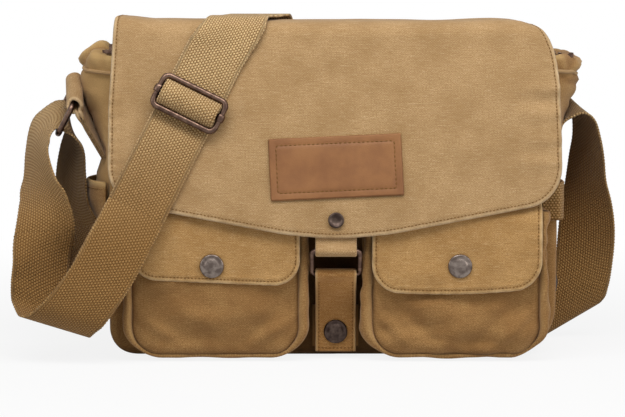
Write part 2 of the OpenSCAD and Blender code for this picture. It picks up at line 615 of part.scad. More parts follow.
module tab_rivet() color(metal) at_rivet() {
    through = cloth + 2 * seam + closure_t;
    rotate_extrude() polygon(concat([[0, fit], [rivet_d / 2 - 0.4, fit]],
        [for (a = [0:18:90]) [rivet_d / 2 * cos(a), 0.6 + 1.4 * sin(a)]]));
    translate([0, 0, -through - 0.1]) cylinder(d = post_d, h = through + fit + 0.2);
    translate([0, 0, -through - 1]) cylinder(d = rivet_d - 2, h = 1);
}
module closure_ring() color(metal) translate([0, ring_pin[0], ring_pin[1]])
    rotate([atan2(ring_dir[0], -ring_dir[1]), 0, 0])
        wire_loop(cring_span, cring_drop, cring_wire, cring_bend);
module closure_strap() color(canvas) difference() {
    union() {
        side_view(closure_w) polygon(strip(concat([strap_pin],
            [for (t = [0.25, 0.5, 0.75]) mix(mix(strap_pin, knee, 0.5 + t / 2), mix(knee, flat_end, t), t)],
            [flat_end, [closure_y, closure_end]]), closure_t));
        bar_x(strap_pin, loop_d, closure_w);
    }
    bar_x(strap_pin, cring_wire + 2 * fit, closure_w + 2);
    facing_front(0, closure_y, csnap_z) post_hole();
}
module closure_snap_cap() color(metal)
    facing_front(0, closure_y - closure_t / 2, csnap_z) snap_cap(closure_t);
module closure_snap_stud() color(metal)
    facing_front(0, stud_patch_y, csnap_z) snap_stud(cloth - flange_h - seam);
patch_edge = 2;
module closure_stud_patch() color(canvas) difference() {
    front_view(stud_patch_y, cloth) translate([-closure_w / 2 - patch_edge, csnap_z - socket_d])
        square([closure_w + 2 * patch_edge, 2 * socket_d + 3 * patch_edge]);
    facing_front(0, stud_patch_y, csnap_z) post_hole();
    facing_front(0, -body_d / 2 - seam, csnap_z)
        translate([0, 0, -1]) cylinder(d = socket_d - 1 + 2 * fit, h = flange_h + 2 * seam + 1);
}

// Slip pocket on the left side
side_pocket_top = 117;
side_pocket_low = 34;
side_pocket_t = 1.8;
side_pocket_edge = 3;
side_puff = 3;
function side_grid(out) = let (n = 8) [for (j = [0:n]) [for (i = [0:n])
    let (y = mix(side_pocket_edge - inner_d, inner_d - side_pocket_edge, i / n),
        z = mix(side_pocket_low, side_pocket_top, j / n),
        puff = side_puff * (1 - pow(y / inner_d, 2)) * smooth(j / n))
        [gusset_x(left_swell, y, z) + seam + puff + out, y, z]]];
module left_side_pocket() color(canvas) on_side(-1) sheet(side_grid(side_pocket_t), side_grid(0));

// Ring tab and strap ring
module ring_bar(d, w) translate([ring_pivot[0], -w / 2, ring_pivot[1]]) rotate([-90, 0, 0])
    cylinder(d = d, h = w);
module ring_tab() color(webbing) at_ring_tab() difference() {
    union() {
        front_view(-strap_w / 2 + 1, strap_w - 2) polygon(strip(
            [[-tab_foot, -tab_sewn / 2], [-tab_foot - seam, tab_sewn], ring_pivot], ring_tab_t));
        ring_bar(ring_loop_d, strap_w - 2);
    }
    ring_bar(wire + 2 * fit, strap_w + 2);
}
module strap_ring() color(metal) at_ring_tab() translate([ring_pivot[0], 0, ring_pivot[1]])
    rotate([0, ring_slant, 0]) rotate([0, 0, 90]) wire_loop(strap_w + 2 + wire, ring_drop, wire, ring_bend);

// Webbing loop and snap on the right side
loop_z = 91;
loop_side = body_w / 2;
loop_front = -body_d / 2 - seam - strap_t / 2;
loop_sewn = 14;
loop_out = 5;
loop_run = 18;
loop_end = 10;
loop_top = loop_z + side_loop_h;
module side_loop() color(webbing) translate([0, 0, loop_z]) linear_extrude(side_loop_h) polygon(strip([
    [loop_side - loop_sewn, loop_front], [loop_side - 0.3 * loop_sewn, loop_front - 2 * seam],
    [loop_side + strap_t, loop_front], [loop_side + loop_out, loop_front + loop_run / 2],
    [loop_side + loop_out + strap_t / 2, loop_front + loop_run],
    [gusset_x(right_swell, -loop_end, loop_top) + strap_t, -loop_end],
    [gusset_x(right_swell, 0, loop_top) + 2 * seam + strap_t / 2, 0]], strap_t));
side_snap_y = -12;
side_snap_z = 47;
side_snap_x = gusset_x(right_swell, side_snap_y, side_snap_z + socket_d / 2) + fit;
module side_snap() color(metal) translate([side_snap_x, side_snap_y, side_snap_z]) rotate([0, 90, 0])
    rotate_extrude() polygon(cap_profile);

// Slide buckle
module slider_frame() color(metal) at_buckle() translate([0, buckle_drop / 2, 0]) rotate([-90, 0, 0])
    wire_loop(buckle_span, buckle_drop, wire, ring_bend);
bar_wrap = 2.4;
module bar_ends(d, h) for (s = [-1, 1]) translate([s * buckle_span / 2, 0, 0]) rotate([90, 0, 0])
    cylinder(d = d, h = h, center = true);
module slider_bar() color(metal) at_buckle() difference() {
    union() {
        rotate([0, 90, 0]) cylinder(d = wire, h = buckle_span, center = true);
        bar_ends(wire + bar_wrap, 1.25 * wire);
    }
    bar_ends(wire + 2 * fit, 2 * wire);
}
module slider_loop() color(webbing) at_buckle() difference() {
    union() {
        rotate([0, 90, 0]) cylinder(d = buckle_loop_d, h = strap_w - 4, center = true);
        side_view(strap_w - 4) polygon(strip([
            [0, -(wire + strap_t) / 2 - fit], [-3, -(wire + strap_t) / 2 - fit],
            [-8, low_n - buckle_n], [-tail_l, low_n - buckle_n]], strap_t));
    }
    rotate([0, 90, 0]) cylinder(d = wire + 2 * fit, h = strap_w, center = true);
}

// Shoulder strap
module strap_over_flap() color(webbing) band(top_route);
module strap_under_layer() color(webbing) band(under_route, 1);
module strap_left_loop() color(webbing) band(left_route);
module strap_right_run() color(webbing) band(right_route);

front_panel();
back_panel();
left_gusset();
right_gusset();
bottom_panel();
lining();
zip_tape_front();
zip_tape_back();
zip_teeth_front();
zip_teeth_back();
zip_stops();
zip_slider();
zip_pull();
left_pocket_front();
right_pocket_front();
left_pocket_gusset();
right_pocket_gusset();
left_flap_strip();
right_flap_strip();
left_pocket_flap();
right_pocket_flap();
left_snap_cap();
right_snap_cap();
left_snap_stud();
right_snap_stud();
main_flap();
leather_patch();
closure_tab();
tab_rivet();
closure_ring();
closure_strap();
closure_snap_cap();
closure_snap_stud();
closure_stud_patch();
left_side_pocket();
ring_tab();
strap_ring();
side_loop();
side_snap();
slider_frame();
slider_bar();
slider_loop();
strap_over_flap();
strap_under_layer();
strap_left_loop();
strap_right_run();
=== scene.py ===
import math
from functools import partial

import bpy
import numpy as np
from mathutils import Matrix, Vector


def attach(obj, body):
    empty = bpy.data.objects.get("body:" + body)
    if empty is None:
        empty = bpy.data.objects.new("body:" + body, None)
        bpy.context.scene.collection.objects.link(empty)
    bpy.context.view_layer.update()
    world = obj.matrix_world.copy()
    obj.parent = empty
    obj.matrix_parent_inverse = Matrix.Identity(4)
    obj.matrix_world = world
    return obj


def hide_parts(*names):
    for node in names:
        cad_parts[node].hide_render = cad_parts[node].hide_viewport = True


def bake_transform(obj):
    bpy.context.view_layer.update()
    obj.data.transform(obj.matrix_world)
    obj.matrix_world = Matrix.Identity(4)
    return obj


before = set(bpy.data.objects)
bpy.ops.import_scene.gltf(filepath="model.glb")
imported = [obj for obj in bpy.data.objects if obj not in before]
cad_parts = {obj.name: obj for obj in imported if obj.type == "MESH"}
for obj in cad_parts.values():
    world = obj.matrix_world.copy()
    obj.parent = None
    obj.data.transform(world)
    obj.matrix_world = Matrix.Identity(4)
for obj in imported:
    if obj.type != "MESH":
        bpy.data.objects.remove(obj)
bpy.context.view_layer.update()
MM = 0.001
scene = bpy.context.scene

# Sizes in millimetres, the same as in the CAD part
BODY_W, BODY_D, BODY_H, BACK_H, CLOTH = 306.0, 76.0, 206.0, 216.0, 2.4
HALF_W, HALF_D = BODY_W / 2, (BODY_D - CLOTH) / 2
FLAP_HALF, FLAP_R, BEND_R = 150.0, 26.0, 12.0
FLAP_INNER = FLAP_HALF - FLAP_R
LEAN, HEM_SLOPE = math.radians(11.5), math.radians(10.5)
# Height of the main flap's hem in the middle, and half the width that is level
HEM_Z, HEM_FLAT = 85.0, 22.0
# Section of the flap in y and z: its rear seam, the y from which it turns wholly with the flap's body, and
# the centre of its front bend
HINGE, FOLD_Y = np.array([HALF_D, 217.8]), 14.0
BEND_C = np.array([-36.0, 213.8])
STRAP_W, STRAP_T, STRAP_LEAN = 38.0, 1.5, math.radians(26.3)
BUCKLE = (-96.5, 171.0)
X_WIDE = (1.0, 0.0, 0.0)


# Shape tools
def smooth(t):
    """Eased step from 0 to 1."""
    t = np.clip(t, 0, 1)
    return t * t * (3 - 2 * t)


def bump(t, middle, width):
    """Round hill of height 1."""
    return np.exp(-(((t - middle) / width) ** 2))


def noise(x, y, seed=0):
    """Smooth noise from -1 to 1, at points given in cells. Whole numbers scramble each cell's place."""
    x, y = np.broadcast_arrays(np.asarray(x, float), np.asarray(y, float))
    ix, iy = np.floor(x).astype(np.int64), np.floor(y).astype(np.int64)
    fx, fy = smooth(x - ix), smooth(y - iy)
    out = np.zeros(x.shape)
    for dx in (0, 1):
        for dy in (0, 1):
            h = (ix + dx) * 374761393 + (iy + dy) * 668265263 + seed * 974634777
            h = ((h ^ (h >> 13)) * 1274126177) & 0x7FFFFFFF
            h = (h ^ (h >> 16)) & 0xFFFF
            out += np.where(dx, fx, 1 - fx) * np.where(dy, fy, 1 - fy) * (h / 32767.5 - 1)
    return out


def unit(v):
    return v / np.maximum(np.linalg.norm(v, axis=-1, keepdims=True), 1e-9)


def run_length(p):
    """Distance along a line of points, at each of them."""
    return np.concatenate([[0], np.cumsum(np.linalg.norm(np.diff(p, axis=0), axis=1))])


def resample(p, count):
    """The same line with evenly spaced points. Its first three columns are the place."""
    s = run_length(p[:, :3])
    at = np.linspace(0, s[-1], count)
    return np.stack([np.interp(at, s, column) for column in p.T], -1)


def spline(points, count):
    """A smooth curve through points, as evenly spaced samples."""
    p = np.asarray(points, float)
    a = np.vstack([2 * p[0] - p[1], p, 2 * p[-1] - p[-2]])
    t = np.linspace(0, 1, 24, endpoint=False)[:, None]
    rows = [
        a[i] + 0.5 * t * (a[i + 1] - a[i - 1] + t * (2 * a[i - 1] - 5 * a[i] + 4 * a[i + 1] - a[i + 2]
        + t * (3 * (a[i] - a[i + 1]) + a[i + 2] - a[i - 1])))
        for i in range(1, len(a) - 2)
    ]
    return resample(np.vstack(rows + [p[-1:]]), count)


def beside(line):
    """Unit directions to the right of a line in a plane."""
    along = unit(np.gradient(line, axis=0))
    return np.stack([along[:, 1], -along[:, 0]], -1)


def at_run(s, run, columns):
    """Values of each column at distances s along a line."""
    return [np.interp(s, run, column) for column in columns.T]


def edge_distance(points, line):
    """Distance of 2D points from a polyline, and the place along it."""
    d = np.full(points.shape[:-1], 1e9)
    place = np.zeros(points.shape[:-1])
    run = 0.0
    for a, b in zip(line[:-1], line[1:]):
        ab = b - a
        length = max(np.linalg.norm(ab), 1e-9)
        t = np.clip(((points - a) @ ab) / length**2, 0, 1)
        r = np.linalg.norm(points - a - t[..., None] * ab, axis=-1)
        place = np.where(r < d, run + t * length, place)
        d = np.minimum(d, r)
        run += length
    return d, place


# Mesh tools
def add_mesh(name, verts, faces, mat, uv=None, pale=None):
    """A smooth mesh from points in millimetres, a UV map in metres, and the pale share of wear, painted light
    and shade.
    """
    mesh = bpy.data.meshes.new(name)
    mesh.from_pydata((np.asarray(verts) * MM).tolist(), [], [tuple(int(i) for i in f) for f in faces])
    mesh.polygons.foreach_set("use_smooth", [True] * len(mesh.polygons))
    if uv is not None:
        loops = np.zeros(len(mesh.loops), int)
        mesh.loops.foreach_get("vertex_index", loops)
        mesh.uv_layers.new(name="UVMap").data.foreach_set("uv", (np.asarray(uv)[loops] * MM).ravel())
    if pale is not None:
        share = mesh.attributes.new("pale", "FLOAT", "POINT")
        share.data.foreach_set("value", np.asarray(pale, np.float32))
    mesh.materials.append(mat)
    mesh.validate()
    obj = bpy.data.objects.new(name, mesh)
    scene.collection.objects.link(obj)
    return obj


def grid_normals(p):
    return unit(np.cross(np.gradient(p, axis=1), np.gradient(p, axis=0)))


def shell(name, p, thick, mat, flip=False, pale=None, inner=None, wrap=False, normals=None, lead=0.0):
    """A closed sheet round a grid of points, with rounded rims. flip turns it inside out, wrap joins the
    first and last column, inner is the material of its inside, lead shifts its UV map along."""
    if wrap:
        q = np.concatenate([p[:, -2:-1], p, p[:, 1:2]], 1)
        n = grid_normals(q)[:, 1:-1]
    else:
        n = grid_normals(p) if normals is None else normals
    n = -n if flip else n
    nv, nu = p.shape[:2]
    half = np.broadcast_to(thick, (nv, nu))[..., None] / 2
    index = np.arange(nv * nu).reshape(nv, nu)
    du = np.linalg.norm(np.diff(p, axis=1), axis=-1)
    dv = np.linalg.norm(np.diff(p, axis=0), axis=-1)
    u = np.concatenate([np.zeros((nv, 1)), np.cumsum(du, 1)], 1)
    v = np.concatenate([np.zeros((1, nu)), np.cumsum(dv, 0)], 0)
    uv = np.stack([u - u[:, nu // 2][:, None], v + lead], -1).reshape(-1, 2)
    a, b, c, d = index[:-1, :-1], index[:-1, 1:], index[1:, 1:], index[1:, :-1]
    quads = np.stack([a, b, c, d], -1).reshape(-1, 4)
    count = nv * nu
    out_quads = quads[:, ::-1] if flip else quads
    faces = [out_quads, out_quads[:, ::-1] + count]
    verts = [(p + n * half).reshape(-1, 3), (p - n * half).reshape(-1, 3)]
    uvs, pales = [uv, uv], None if pale is None else [pale.ravel(), pale.ravel()]
    if wrap:
        loops = [(index[0], index[1]), (index[-1][::-1], index[-2][::-1])]
    else:
        ring = np.concatenate([index[0, :-1], index[:-1, -1], index[-1, :0:-1], index[:0:-1, 0]])
        near = np.concatenate([index[1, :-1], index[:-1, -2], index[-2, :0:-1], index[:0:-1, 1]])
        loops = [(np.append(ring, ring[0]), np.append(near, near[0]))]
    flat, flat_half, flat_n = p.reshape(-1, 3), half.reshape(-1, 1), n.reshape(-1, 3)
    start = 2 * count
    for ring, near in loops:
        along = flat[np.roll(ring[:-1], -1)] - flat[np.roll(ring[:-1], 1)]
        away = unit(np.cross(np.vstack([along, along[:1]]), flat_n[ring]))
        away *= np.sign(np.sum(away * (flat[ring] - flat[near])) + 1e-9)
        verts.append(flat[ring] + away * flat_half[ring])
        uvs.append(uv[ring])
        if pales is not None:
            pales.append(pale.ravel()[ring])
        m = start + np.arange(len(ring))
        start += len(ring)
        for lo, hi in ((ring, m), (m, ring + count)):
            strip = np.stack([lo[1:], lo[:-1], hi[:-1], hi[1:]], -1)
            faces.append(strip[:, ::-1] if flip else strip)
    obj = add_mesh(name, np.concatenate(verts), np.concatenate(faces), mat, np.concatenate(uvs),
                   None if pales is None else np.concatenate(pales))
    if inner is not None:
        obj.data.materials.append(inner)
        which = np.zeros(len(obj.data.polygons), np.int32)
        which[len(quads):2 * len(quads)] = 1
        obj.data.polygons.foreach_set("material_index", which)
    return obj


def ring_faces(rings, sides, closed=False):
    """Faces between rings of points, joined round or with flat ends."""
    faces = []
    for i in range(rings if closed else rings - 1):
        j = (i + 1) % rings
        for s in range(sides):
            s2 = (s + 1) % sides
            faces.append((i * sides + s, i * sides + s2, j * sides + s2, j * sides + s))
    if not closed:
        faces += [tuple(range(sides))[::-1], tuple((rings - 1) * sides + s for s in range(sides))]
    return faces


def tube(name, path, radius, mat, closed=False, sides=14):
    """A round wire along a path."""
    p = np.asarray(path, float)
    if closed:
        t = unit(np.roll(p, -1, 0) - np.roll(p, 1, 0))
    else:
        t = unit(np.gradient(p, axis=0))
    ref = np.array([0.0, 0.0, 1.0]) if abs(t[0][2]) < 0.9 else np.array([1.0, 0.0, 0.0])
    n = np.zeros_like(p)
    n[0] = unit(ref - t[0] * (ref @ t[0]))
    for i in range(1, len(p)):
        n[i] = unit(n[i - 1] - t[i] * (n[i - 1] @ t[i]))
    b = np.cross(t, n)
    a = np.linspace(0, 2 * np.pi, sides, endpoint=False)[None, :, None]
    r = np.broadcast_to(radius, len(p))[:, None, None]
    rings = p[:, None] + r * (np.cos(a) * n[:, None] + np.sin(a) * b[:, None])
    return add_mesh(name, rings.reshape(-1, 3), ring_faces(len(p), sides, closed), mat)


def lathe(name, profile, place, axis, mat, sides=48):
    """A turned piece: profile is (radius, height) pairs along axis from place."""
    axis = unit(np.asarray(axis, float))
    side = unit(np.cross(axis, [0.3, 0.2, 1.0]))
    other = np.cross(axis, side)
    a = np.linspace(0, 2 * np.pi, sides, endpoint=False)[:, None]
    rings = [np.asarray(place) + axis * h + r * (np.cos(a) * side + np.sin(a) * other) for r, h in profile]
    return add_mesh(name, np.concatenate(rings), ring_faces(len(profile), sides), mat)


def rounded_loop(width, height, radius, count):
    """A closed rounded rectangle in its own plane, centred."""
    pts = []
    for k, (sx, sy) in enumerate(((1, 1), (-1, 1), (-1, -1), (1, -1))):
        x, y = sx * (width / 2 - radius), sy * (height / 2 - radius)
        for a in np.linspace(k * math.pi / 2, (k + 1) * math.pi / 2, count):
            pts.append((x + radius * math.cos(a), y + radius * math.sin(a)))
    return np.array(pts)


# Webbing: width of its woven edge, and spacing of the loops of thread along it
SELVEDGE, EDGE_LOOPS = 1.2, 2.3


def band(route, width, step=0.8, columns=9, serrate=0.0):
    """A grid for a strip through (point, width direction) pairs, with an edge roughened by serrate."""
    data = np.array([[*p, *unit(np.array(w, float))] for p, w in route])
    q = spline(data, max(8, int(run_length(data[:, :3])[-1] / step)))
    p, w = q[:, :3], unit(q[:, 3:])
    along = unit(np.gradient(p, axis=0))
    square = np.linalg.norm(np.cross(along, w), axis=1)[:, None]
    w = w / np.maximum(square, 0.5)
    t = np.linspace(-0.5, 0.5, columns)
    t[[1, -2]] = t[[0, -1]] * (1 - 2 * SELVEDGE / width)
    grid = p[:, None] + w[:, None] * (t * width)[None, :, None]
    saw = np.abs((np.arange(len(p)) * step / EDGE_LOOPS) % 1 - 0.5) * 2
    grid[:, 0] -= w * (saw * serrate)[:, None]
    grid[:, -1] += w * (np.roll(saw, 2) * serrate)[:, None]
    return grid


def fit(piece, slot, body, *nodes):
    """Attaches a piece to its body and hides the CAD nodes that it stands for. slot is not used."""
    if nodes:
        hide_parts(*nodes)
    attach(piece, body)


# Node tools
def add_node(tree, kind, out=0, **values):
    """Adds a node and gives one of its outputs. A lower-case name is a setting, a capitalised one an input,
    and i0, i1 and so on are inputs by their number. A value that is a socket is linked."""
    n = tree.nodes.new(kind if "Node" in kind else "ShaderNode" + kind)
    settings = [key for key in values if key[0].islower() and not key[1:].isdigit()]
    for key in settings:
        setattr(n, key, values.pop(key))
    for key, value in values.items():
        sock = n.inputs[int(key[1:])] if key[1:].isdigit() else n.inputs[key.replace("_", " ")]
        if isinstance(value, bpy.types.NodeSocket):
            tree.links.new(value, sock)
        else:
            sock.default_value = value
    return n.outputs[out] if len(n.outputs) else n


def colour(code):
    """sRGB hex to linear."""
    c = [int(code[i:i + 2], 16) / 255 for i in (1, 3, 5)]
    return tuple(x / 12.92 if x <= 0.04045 else ((x + 0.055) / 1.055) ** 2.4 for x in c) + (1.0,)


def new_material(name):
    """An empty material, and a function that adds a node to it."""
    mat = bpy.data.materials.new(name)
    mat.use_nodes = True
    mat.node_tree.nodes.clear()
    return mat, partial(add_node, mat.node_tree)


def cells(node, wide, long):
    """The piece's UV map, which is in metres, in cells of the given size in millimetres."""
    return node("Mapping", Vector=node("UVMap", uv_map="UVMap"), Scale=(1000 / wide, 1000 / long, 1))


def mottle(node, wide, long, detail, rough=0.55):
    """An uneven pattern in cells of the given size in millimetres."""
    return node("TexNoise", Vector=cells(node, wide, long), Scale=1.0, Detail=detail, Roughness=rough)


def layers(node, under, rows):
    """Lays tints over a colour. Rows: a pattern, its range, the tint's share at both ends, the tint."""
    for pattern, low, high, least, most, tint in rows:
        share = node("MapRange", interpolation_type="SMOOTHSTEP", Value=pattern, From_Min=low, From_Max=high,
                     To_Min=least, To_Max=most)
        under = node("Mix", 2, data_type="RGBA", i0=share, i6=under, i7=tint)
    return under


# Painted shade: the dark colour laid in seams, creases and other shaded places
PAINTED_SHADE = "#3b2614"


def wear_and_painted_light(node, under, worn, light):
    """Fades a colour to light where the pale attribute is positive, for wear and painted light, and darkens
    it with painted shade where it is negative.
    """
    pale = node("Attribute", "Fac", attribute_name="pale")
    for share, tint in ((worn, light), (-1.0, colour(PAINTED_SHADE))):
        part = node("Math", operation="MULTIPLY", i0=pale, i1=share)
        under = node("Mix", 2, data_type="RGBA", i0=part, i6=under, i7=tint)
    return under


# Materials
def canvas_material(name, base, dark, light, slub):
    """Washed cotton canvas, plain woven and dyed as a finished bag: matt, mottled by the wash, with thick
    threads across, and hems rubbed pale. The weave is drawn at 1.7 mm, coarser than real, so it shows."""
    mat, node = new_material(name)
    base, dark, light = colour(base), colour(dark), colour(light)
    wash, slubs = mottle(node, 26, 26, 4.0), mottle(node, 7.5, 0.85, 2.0)
    weft, grain = mottle(node, 1.0, 3.2, 2.0), mottle(node, 1.1, 0.8, 2.0, 0.7)
    threads = node("SeparateXYZ", Vector=cells(node, 1.75 / math.tau, 1.6 / math.tau)).node.outputs
    waves = [node("Math", operation="SINE", i0=threads[k]) for k in (0, 1)]
    weave = node("Math", operation="MULTIPLY", i0=waves[0], i1=waves[1])
    tint = layers(node, dark, [
        (wash, 0.3, 0.7, 0.3, 1.0, base), (weave, -0.9, 0.2, 0.3, 0, dark), (weave, 0.1, 0.9, 0, 0.3, light),
        (slubs, 0.52, 0.78, 0, slub, light), (slubs, 0.48, 0.25, 0, slub * 1.4, dark),
        (grain, 0.36, 0.62, 0.7, 0, dark)])
    rubbed = node("MapRange", interpolation_type="SMOOTHSTEP", Value=wash, From_Min=0.2, From_Max=0.7,
                  To_Min=0.44, To_Max=0.8)
    tint = wear_and_painted_light(node, tint, rubbed, light)
    height = node("Math", operation="MULTIPLY_ADD", i0=weft, i1=0.5, i2=slubs)
    height = node("Math", operation="MULTIPLY_ADD", i0=grain, i1=0.8, i2=height)
    relief = node("Bump", Strength=0.5, Distance=0.0003, Height=height)
    crush = node("Bump", Strength=0.35, Distance=0.0012, Height=mottle(node, 13, 9, 3.0), Normal=relief)
    node("OutputMaterial", Surface=node(
        "BsdfPrincipled", Base_Color=tint, Roughness=0.95, Specular_IOR_Level=0.12, Sheen_Weight=0.12,
        Sheen_Roughness=0.5, Normal=crush))
    return mat


def webbing_material(name, base, dark, light, painted_shade_base, painted_shade_light):
    """Coarse cotton webbing in a basket weave, 1.7 mm across by 2.2 mm along: matt and knobbly, with a pale
    It is lighter over the flap and darker and browner lower down, in its two low colours: painted shade, for
    the light that falls off towards the bottom."""
    mat, node = new_material(name)
    dark = colour(dark)
    across, along = node("SeparateXYZ", Vector=cells(node, 1.7, 2.2)).node.outputs[:2]
    row = node("Math", operation="FLOOR", i0=across)
    along = node("Math", operation="MULTIPLY_ADD", i0=row, i1=0.5, i2=along)
    waves = []
    for place in (across, along):
        turned = node("Math", operation="MULTIPLY", i0=node("Math", operation="FRACT", i0=place), i1=math.pi)
        waves.append(node("Math", operation="SINE", i0=turned))
    knot = node("Math", operation="MULTIPLY", i0=waves[0], i1=waves[1])
    wash, fuzz = mottle(node, 30, 40, 3.0), mottle(node, 0.9, 0.9, 1.0)
    height = node("SeparateXYZ", "Z", Vector=node("TexCoord", "Object"))
    # Painted shade: below 0.21 m the webbing takes its two darker low colours, for the light that falls off
    # lower down.
    light = layers(node, colour(painted_shade_light), [(height, 0.07, 0.21, 0, 1, colour(light))])
    tint = layers(node, colour(painted_shade_base), [
        (height, 0.07, 0.21, 0, 1, colour(base)), (wash, 0.3, 0.7, 0.3, 0, dark),
        (knot, 0.45, 0.05, 0, 0.85, dark), (knot, 0.35, 0.95, 0, 0.5, light),
        (fuzz, 0.3, 0.7, 0.15, 0, dark)])
    tint = wear_and_painted_light(node, tint, 0.15, light)
    relief = node("Math", operation="MULTIPLY_ADD", i0=fuzz, i1=0.2, i2=knot)
    relief = node("Bump", Strength=0.8, Distance=0.0007, Height=relief)
    node("OutputMaterial", Surface=node(
        "BsdfPrincipled", Base_Color=tint, Roughness=0.95, Specular_IOR_Level=0.12, Sheen_Weight=0.1,
        Normal=relief))
    return mat


def leather_material(name):
    """Smooth leather, dyed unevenly in 22 mm clouds: a soft shine and a fine pressed grain of 0.7 mm."""
    mat, node = new_material(name)
    place = node("TexCoord", "Object")
    dye_and_painted_shade = node("TexNoise", Vector=place, Scale=45.0, Detail=3.0, Roughness=0.55)
    grain = node("TexVoronoi", "Distance", Vector=place, Scale=1400.0)
    tint = layers(node, colour("#7d5231"), [
        (dye_and_painted_shade, 0.3, 0.7, 0, 1, colour("#8f623b")), (grain, 0.5, 0.1, 0, 0.15, colour("#6d472c"))])
    relief = node("Bump", Strength=0.25, Distance=0.0002, Height=grain)
    node("OutputMaterial", Surface=node(
        "BsdfPrincipled", Base_Color=tint, Roughness=0.55, Specular_IOR_Level=0.3, Normal=relief))
    return mat


def metal_material(name, base, worn, rough):
    """Antique plated metal: browned in 4 mm patches, and brighter and smoother where it is rubbed."""
    mat, node = new_material(name)
    patina = node("TexNoise", Vector=node("TexCoord", "Object"), Scale=260.0, Detail=4.0, Roughness=0.55)
    tint = layers(node, colour(base), [(patina, 0.35, 0.7, 0, 1, colour(worn))])
    shine = node("MapRange", interpolation_type="SMOOTHSTEP", Value=patina, From_Min=0.2, From_Max=0.8,
                 To_Min=rough + 0.12, To_Max=rough - 0.06)
    node("OutputMaterial", Surface=node("BsdfPrincipled", Base_Color=tint, Roughness=shine, Metallic=1.0))
    return mat


def plain_material(name, base):
    """Plain matt cotton: lining, tape and thread, too fine or too hidden to show a weave."""
    mat, node = new_material(name)
    node("OutputMaterial", Surface=node(
        "BsdfPrincipled", Base_Color=colour(base), Roughness=0.9, Specular_IOR_Level=0.15))
    return mat


CANVAS = canvas_material("washed_canvas", "#b8976c", "#94734a", "#d3b993", 0.42)
CANVAS_POCKET = canvas_material("washed_canvas_pocket_flap", "#c09862", "#976f3e", "#d8bb8d", 0.42)
# The closing strap's canvas is brighter and more orange than the flap's: partly its own tone, partly painted
# light to lift it where it hangs in shade between the pockets.
CANVAS_STRAP = canvas_material("washed_canvas_closing_strap_tone_and_painted_light", "#bd8e54", "#8f6132", "#d3ae7a", 0.42)
# The body's canvas is darker and browner than the flap's: partly its own tone, partly painted shade for the
# lower body, where less light falls.
CANVAS_BODY = canvas_material("washed_canvas_body_tone_and_painted_shade", "#a57f4f", "#7b552d", "#bd9c68", 0.25)
WEBBING = webbing_material("cotton_webbing", "#ceac79", "#76542d", "#e4c99c", "#896232", "#c29d66")
LEATHER = leather_material("brown_leather")
METAL = metal_material("antique_brass", "#4f3d35", "#705a4d", 0.3)
SNAP_METAL = metal_material("antique_snap_metal", "#5c514b", "#877b73", 0.25)
DARK_METAL = metal_material("dark_snap_metal", "#372c28", "#53463f", 0.34)
LINING = plain_material("cotton_lining", "#4a3a26")
TAPE = plain_material("zip_tape_cloth", "#5b4327")
THREAD = plain_material("sewing_thread", "#77562c")


# Stitches, repeated along lines by one node group
def stitch_group():
    """Places a rounded stitch at even steps along the lines of a mesh."""
    tree = bpy.data.node_groups.new("stitches", "GeometryNodeTree")
    sizes = [(label, "Float") for label in ("Pitch", "Length", "Width", "Height")]
    for label, kind in [("Geometry", "Geometry")] + sizes + [("Material", "Material")]:
        tree.interface.new_socket(label, in_out="INPUT", socket_type="NodeSocket" + kind)
    tree.interface.new_socket("Geometry", in_out="OUTPUT", socket_type="NodeSocketGeometry")
    node = partial(add_node, tree)
    given = tree.nodes.new("NodeGroupInput").outputs
    curve = node("GeometryNodeMeshToCurve", Mesh=given["Geometry"])
    points = node("GeometryNodeCurveToPoints", mode="LENGTH", Curve=curve, Length=given["Pitch"])
    turned = node("FunctionNodeAlignRotationToVector", axis="X", Vector=points.node.outputs["Tangent"])
    bead = node("GeometryNodeMeshUVSphere", Segments=6, Rings=4, Radius=0.5)
    size = node("CombineXYZ", X=given["Length"], Y=given["Width"], Z=given["Height"])
    placed = node("GeometryNodeInstanceOnPoints", Points=points, Instance=bead, Rotation=turned, Scale=size)
    real = node("GeometryNodeRealizeInstances", Geometry=placed)
    painted = node("GeometryNodeSetMaterial", Geometry=real, Material=given["Material"])
    node("NodeGroupOutput", Geometry=painted)
    return tree


STITCHES, THREAD_W, THREAD_H = stitch_group(), 0.75, 0.65


def sew(name, lines, pitch=2.4, length=1.6):
    """A row of stitches along each line, as one mesh."""
    verts, edges = [], []
    for line in lines:
        edges += [(len(verts) + i, len(verts) + i + 1) for i in range(len(line) - 1)]
        verts += [tuple(np.asarray(p) * MM) for p in line]
    mesh = bpy.data.meshes.new(name + "_lines")
    mesh.from_pydata(verts, edges, [])
    carrier = bpy.data.objects.new(name + "_lines", mesh)
    scene.collection.objects.link(carrier)
    mod = carrier.modifiers.new("stitches", "NODES")
    mod.node_group = STITCHES
    values = {"Pitch": pitch * MM, "Length": length * MM, "Width": THREAD_W * MM, "Height": THREAD_H * MM,
              "Material": THREAD}
    for item in STITCHES.interface.items_tree:
        if item.in_out == "INPUT" and item.name in values:
            mod[item.identifier] = values[item.name]
    bpy.context.view_layer.update()
    done = bpy.data.meshes.new_from_object(carrier.evaluated_get(bpy.context.evaluated_depsgraph_get()))
    done.name = name
    done.polygons.foreach_set("use_smooth", [True] * len(done.polygons))
    obj = bpy.data.objects.new(name, done)
    scene.collection.objects.link(obj)
    bpy.data.objects.remove(carrier)
    return obj


def on_surface(f, a, b, lift):
    """Points of surface f at (a, b), lifted along its normal towards the outside."""
    e = 0.05
    p = f(a, b)
    n = unit(np.cross(f(a + e, b) - f(a - e, b), f(a, b + e) - f(a, b - e)))
    return p + n * lift


# Distance of a hem's stitches from the edge of its cloth
HEM = 1.9


